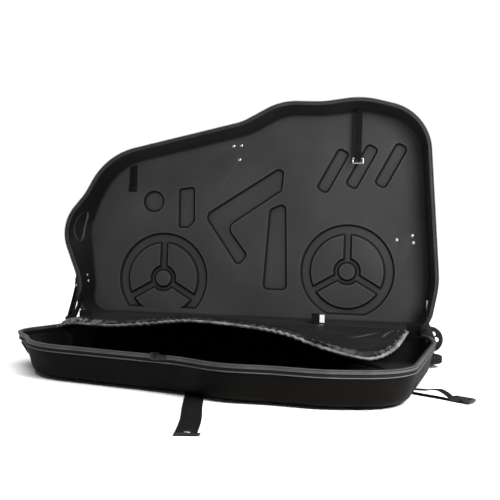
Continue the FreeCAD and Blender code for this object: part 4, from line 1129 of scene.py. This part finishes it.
def handle():
    """Webbing loop of the end handle, hanging from its pin, with a ribbed grip."""
    place = BACK @ Matrix.Translation(HANDLE_PIN * MM) @ Matrix.Rotation(HANDLE_TILT, 4, "Y")
    line = handle_end(0, 0)
    for down in (20, 45, 70, 92):
        line.append(Vector((-HANDLE_BEND + 0.8 * math.sin(down / 30), HANDLE_DEPTH, -down)))
    line += handle_end(-HANDLE_DROP, math.pi)
    for up in (92, 70, 45, 20, 4):
        line.append(Vector((HANDLE_BEND - 0.8 * math.sin(up / 30), HANDLE_DEPTH, -up)))
    line = [place @ (point * MM) for point in line]
    across = place.to_3x3() @ Vector((0, 1, 0))
    piece = ribbon("handle_web", line, across, 25.5, 2.4)
    finished(piece, WEBBING, "webbing", "end_handle", "end_handle_loop")
    way = place.to_3x3() @ Vector((0, 0, 1))
    sewing = place @ (Vector((-6.2, HANDLE_DEPTH, -38)) * MM)
    sewn_box("handle_sewing", sewing, way, across, 26, 18, "end_handle")
    turn = (math.pi / 2, 0, 0)
    parts = [rounded(rod("handle_grip", 8.4, 34, 32, turn=turn), 1.2, 3)]
    for y in (-14.5, -8.7, -2.9, 2.9, 8.7, 14.5):
        parts.append(rounded(rod("grip_rib", 9.0, 3.6, 32, (0, y, 0), turn), 0.9, 3))
    grip = joined("handle_grip", parts)
    moved(grip, place @ Matrix.Translation(Vector((0, HANDLE_DEPTH, -HANDLE_DROP)) * MM))
    finished(smooth(grip), RUBBER, "hard_plastic", "end_handle", "end_handle_grip")


handle()


# Wheels

WHEEL = Vector((563, -18))
WHEEL_DEPTH = 63.0
TREAD = ((29.5, 0.0), (33.5, 0.0), (37.6, 1.6), (39.3, 4.6), (39.5, 8.0), (38.0, 8.5), (38.0, 10.2),
         (39.5, 10.7), (39.5, 13.3), (38.0, 13.8), (38.0, 15.5), (39.5, 16.0), (39.3, 19.4), (37.6, 22.4),
         (33.5, 24.0), (29.5, 24.0))


def tyre(half):
    """Tread with two grooves: its section spun round the axle."""
    data = bpy.data.meshes.new(half + "_wheel_tread")
    points = [Vector((radius, depth, 0)) * MM for radius, depth in TREAD]
    data.from_pydata(points, [(i, (i + 1) % len(points)) for i in range(len(points))], [])
    piece = put(half + "_wheel_tread", data)
    open_up(piece)
    bpy.ops.mesh.select_all(action="SELECT")
    bpy.ops.mesh.spin(steps=56, angle=2 * math.pi, center=(0, 0, 0), axis=(0, 1, 0))
    close_up()
    outward(piece)
    place, side = HALVES[half]
    flip = Matrix.Diagonal((1, side, 1, 1))
    moved(piece, place @ flip @ Matrix.Translation(Vector((WHEEL.x, WHEEL_DEPTH, WHEEL.y)) * MM))
    outward(piece)
    finished(smooth(piece), RUBBER, "tyre", half + "_wheel", half + "_wheel_tyre")


for half in HALVES:
    tyre(half)
    softened(half + "_wheel_hub", half + "_wheel_disc", PLASTIC, "hard_plastic", 0.8, 2)
    softened(half + "_wheel_axle", half + "_wheel_pin", STEEL, "steel", 0.9, 3)
    softened(half + "_wheel_bracket", half + "_corner_guard", PLASTIC, "hard_plastic", 1.4, 3)
softened("strap_label", "strap_label_cloth", LABEL, "label", 0.3, 1)


# Divider pad: its free edge as stations of u, reach from the hinge and rise above the rim

PAD_STATIONS = ((-500, 257.7, 4), (-430, 305.3, 22), (-297, 369.9, 30), (-177, 399.7, 44), (-60, 430.3, 60),
                (80, 460.1, 58), (210, 499.8, 48), (310, 545.3, 25), (400, 572.3, 9), (450, 560.2, 6),
                (490, 470, 18), (511, 300.3, 38))
PAD_START = 16.0
PAD_MIDDLE = 3.5
PAD_THICK = 8.0
PAD_CORNER = 26.0
PAD_COLUMNS = 264
PAD_ROWS = 34
PAD_LIMIT = 12.0
# The pad rises fast from the hinge and bends over, and its rows lie closer near the free edge
PAD_BEND = 0.48
ROW_POWER = 1.5
# Gathers along the bound edge and long folds that fan out from the tail end of the hinge
GATHER_PITCH = 21.0
GATHER_HEIGHT = 3.0
GATHER_REACH = 56.0
GATHER_START = 6.0
GATHER_SLANT = 0.12
FOLD_START = Vector((478, 40))
FOLD_COUNT = 32
FOLD_HEIGHT = 3.0
FOLD_REACH = 420.0
FOLD_CLEAR = 80.0
FOLD_FLAT = 0.6
FOLD_EDGE = 20.0
# How bright the painted highlight is on the crests of the gathers and folds
GATHER_HIGHLIGHT = 0.4
FOLD_HIGHLIGHT = 4.0
CRUMPLE_SEED = 0.7


def pad_point(edge, share):
    """A point of the pad's middle layer, from the hinge to this point of its edge."""
    u, reach, rise = edge
    inset = max(0.0, 1 - min(u - PAD_STATIONS[0][0], PAD_STATIONS[-1][0] - u) / PAD_CORNER)
    start = PAD_START + PAD_CORNER * (1 - math.sqrt(1 - inset * inset))
    v = start + (reach - start) * share
    height = PAD_MIDDLE + rise * ((1 + PAD_BEND) * share - PAD_BEND * share * share)
    return at("front", u, v, -height)


def even(line, count):
    """The same line with evenly spaced points."""
    run = runs(line)
    made = []
    i = 0
    for k in range(count):
        goal = run[-1] * k / (count - 1)
        while i < len(line) - 2 and run[i + 1] < goal:
            i += 1
        share = (goal - run[i]) / (run[i + 1] - run[i])
        made.append(line[i].lerp(line[i + 1], ease(share)))
    return made


def crumple(run):
    """A wavy value between -1 and 1 whose pitch and height wander along the run."""
    seed = CRUMPLE_SEED
    drift = 2.1 * math.sin(run / 97.0 + seed) + 1.3 * math.sin(run / 41.0 + 2 * seed)
    swell_here = 0.62 + 0.38 * math.sin(run / 63.0 + 3 * seed)
    return swell_here * math.sin(2 * math.pi * run / GATHER_PITCH + drift)


def fold(u, v):
    """The long folds at a place on the pad: how strong they are, and their wave from -1 to 1."""
    way = Vector((u, v)) - FOLD_START
    spread = math.atan2(way.y, -way.x)
    far = max(0.0, 1 - way.length / FOLD_REACH)
    near = ease((v - FOLD_CLEAR) / FOLD_CLEAR) * ease((spread - FOLD_FLAT) / 0.3)
    uneven = max(0.0, 0.35 + 0.65 * math.sin(9 * spread + way.length / 90))
    return far * near * uneven, math.sin(FOLD_COUNT * spread + 0.8 * math.sin(way.length / 60))


def cushion():
    """The pad: a sheet shaped to its stations, thickened, blown up as cloth, then gathered."""
    fresh()
    bpy.ops.mesh.primitive_grid_add(x_subdivisions=PAD_COLUMNS, y_subdivisions=PAD_ROWS, size=1)
    piece = bpy.context.object
    piece.name = "divider_cushion"
    edge = even(flow(PAD_STATIONS, 12), PAD_COLUMNS + 1)
    for vertex in piece.data.vertices:
        column = round((vertex.co.x + 0.5) * PAD_COLUMNS)
        share = vertex.co.y + 0.5
        vertex.co = pad_point(edge[column], 1 - (1 - share) ** ROW_POWER)
    modifier(piece, "SOLIDIFY", thickness=PAD_THICK * MM, offset=0.0)
    outward(piece)
    rest = [vertex.co.copy() for vertex in piece.data.vertices]
    swell(piece, edge)
    for vertex, place in zip(piece.data.vertices, rest):
        shift = vertex.co - place
        if shift.length > PAD_LIMIT * MM:
            vertex.co = place + shift * (PAD_LIMIT * MM / shift.length)
    gather(piece, edge)
    modifier(piece, "SUBSURF", levels=1, render_levels=1)
    smooth(piece, 80)
    finished(piece, NYLON, "pad", "divider", "divider_pad")
    return edge


def gather(piece, edge):
    """Draw the cloth into small gathers beside the bound edge, and lay the long folds."""
    spots = nearest([(u, reach, 0) for u, reach, rise in edge])
    back = FRONT.inverted()
    run = runs(edge)
    painted_crest_highlight = piece.data.attributes.new("painted_crest_highlight", "FLOAT", "POINT")
    for vertex in piece.data.vertices:
        place = back @ vertex.co / MM
        _, i, away = spots.find((place.x, place.z, 0))
        fade = math.exp(-away / GATHER_REACH) * min(1.0, away / GATHER_START)
        small = crumple(run[i] + GATHER_SLANT * away)
        strength, long = fold(place.x, place.z)
        strength *= min(1.0, away / FOLD_EDGE)
        vertex.co.z += (GATHER_HEIGHT * fade * small + FOLD_HEIGHT * strength * long) * MM
        # Painted highlight on the crests of the gathers and folds, kept for the nylon's colour.
        pale = GATHER_HIGHLIGHT * fade * max(0.0, small) ** 3 + FOLD_HIGHLIGHT * strength * max(0.0, long) ** 4
        painted_crest_highlight.data[vertex.index].value = min(1.0, pale)


CLOTH = {"quality": 5, "mass": 0.25, "tension_stiffness": 12, "compression_stiffness": 12,
         "shear_stiffness": 4, "bending_stiffness": 0.15, "use_pressure": True,
         "uniform_pressure_force": 3.0, "shrink_min": -0.05}
SWELL_FRAMES = 20
HELD_REACH = 5.5


def swell(piece, edge):
    """Cloth with a little air in it, held along its edges."""
    held = piece.vertex_groups.new(name="held")
    spots = [pad_point(e, 0) for e in edge] + [pad_point(e, 1) for e in edge]
    for k in range(101):
        spots.append(pad_point(edge[0], k / 100))
        spots.append(pad_point(edge[-1], k / 100))
    outer = nearest(spots)
    for vertex in piece.data.vertices:
        if outer.find(vertex.co)[2] < HELD_REACH * MM:
            held.add([vertex.index], 1.0, "REPLACE")
    take(piece)
    cloth = piece.modifiers.new("cloth", "CLOTH")
    for key, value in CLOTH.items():
        setattr(cloth.settings, key, value)
    cloth.settings.vertex_group_mass = "held"
    cloth.settings.effector_weights.gravity = 0.0
    cloth.collision_settings.use_collision = False
    cloth.point_cache.frame_start = 1
    cloth.point_cache.frame_end = SWELL_FRAMES
    for number in range(1, SWELL_FRAMES + 1):
        bpy.context.scene.frame_set(number)
    bpy.ops.object.modifier_apply(modifier="cloth")
    bpy.context.scene.frame_set(1)


BOUND_FOLD = ((-4.6, 0), (-4.2, 2.6), (-2.5, 3.7), (1.5, 3.9), (4.0, 3.2), (5.4, 1.4), (5.6, 0),
              (5.4, -1.4), (4.0, -3.2), (1.5, -3.9), (-2.5, -3.7), (-4.2, -2.6))
BOUND_WAVE = 1.5
BOUND_PINCH = 0.35


def cushion_edge(edge):
    """Tape folded round the pad's free edge, drawn into small waves by its sewing."""
    line = []
    for spot, run in zip(edge, runs(edge)):
        point = pad_point(spot, 1)
        point.z += BOUND_WAVE * crumple(run) * MM
        line.append(point)
    piece = swept("divider_bound_edge", line, BOUND_FOLD)
    for vertex in piece.data.vertices:
        place = vertex.co / MM
        pinch = math.sin(place.x / 3.4 + 2 * math.sin(place.x / 17)) * math.sin(place.y / 4.1)
        vertex.co.z += BOUND_PINCH * pinch * MM
    finished(smooth(piece, 50), BOUND, "pad_binding", "divider", "divider_binding")


PAD_EDGE = cushion()
cushion_edge(PAD_EDGE)


# Floor, light and camera

def floor():
    fresh()
    bpy.ops.mesh.primitive_plane_add(size=40, location=(0, 0, -0.0005))
    piece = bpy.context.object
    piece.name = "floor"
    finish = Finish("floor_paper", grey(0.96), 0.9, specular=0.1)
    finish.colour(finish.noise(3.0), ((0.3, 0.955), (0.7, 0.965)))
    piece.data.materials.append(finish.material)


def soft_light(name, place, target, size, power):
    lamp = bpy.data.lights.new(name, "AREA")
    lamp.shape = "DISK"
    lamp.size = size
    lamp.energy = power
    holder = put(name, lamp)
    holder.location = place
    holder.rotation_euler = (Vector(target) - Vector(place)).to_track_quat("-Z", "Y").to_euler()


def camera():
    """The photograph's view, set from the middle of the hinge."""
    offset = Vector((0.63716, -2.90217, 0.37818))
    yaw, pitch, roll = (math.radians(angle) for angle in (-12.074, -2.754, 0.996))
    ahead = Vector((math.sin(yaw) * math.cos(pitch), math.cos(yaw) * math.cos(pitch), math.sin(pitch)))
    right = Vector((math.cos(yaw), -math.sin(yaw), 0))
    up = right.cross(ahead)
    turned_right = right * math.cos(roll) + up * math.sin(roll)
    turned_up = up * math.cos(roll) - right * math.sin(roll)
    lens = bpy.data.cameras.new("camera")
    lens.lens = 69.8
    lens.sensor_width = 36
    holder = put("camera", lens)
    turn = Matrix((turned_right, turned_up, -ahead)).transposed().to_4x4()
    holder.matrix_world = Matrix.Translation(HINGE + offset) @ turn
    bpy.context.scene.camera = holder


def studio():
    """White all round as the camera sees it, with a dimmer share of it as light on the object."""
    world = bpy.data.worlds.new("studio")
    world.use_nodes = True
    tree = world.node_tree
    seen = tree.nodes["Background"]
    seen.inputs["Color"].default_value = (1, 1, 1, 1)
    seen.inputs["Strength"].default_value = 1.05
    lit = tree.nodes.new("ShaderNodeBackground")
    lit.inputs["Color"].default_value = (1, 1, 1, 1)
    lit.inputs["Strength"].default_value = 0.16
    path = tree.nodes.new("ShaderNodeLightPath")
    mixed = tree.nodes.new("ShaderNodeMixShader")
    tree.links.new(path.outputs["Is Camera Ray"], mixed.inputs["Fac"])
    tree.links.new(lit.outputs["Background"], mixed.inputs[1])
    tree.links.new(seen.outputs["Background"], mixed.inputs[2])
    tree.links.new(mixed.outputs["Shader"], tree.nodes["World Output"].inputs["Surface"])
    bpy.context.scene.world = world
    bpy.context.scene.view_settings.view_transform = "Standard"


def overhead(way, angle, strength):
    """One very broad light from far away, so that the floor is evenly bright."""
    lamp = bpy.data.lights.new("overhead", "SUN")
    lamp.angle = math.radians(angle)
    lamp.energy = strength
    holder = put("overhead", lamp)
    holder.rotation_euler = Vector(way).to_track_quat("Z", "Y").to_euler()


studio()
floor()
overhead((0.12, -0.14, 0.98), 60, 3.3)
soft_light("side", (1.35, -0.85, 1.15), (0.3, 0.5, 0.45), 0.8, 58)
soft_light("behind_left", (-2.0, 3.0, 2.4), (0, 0.4, 0.3), 2.0, 26)
soft_light("behind_right", (2.0, 3.0, 1.8), (0, 0.4, 0.3), 2.0, 18)
camera()
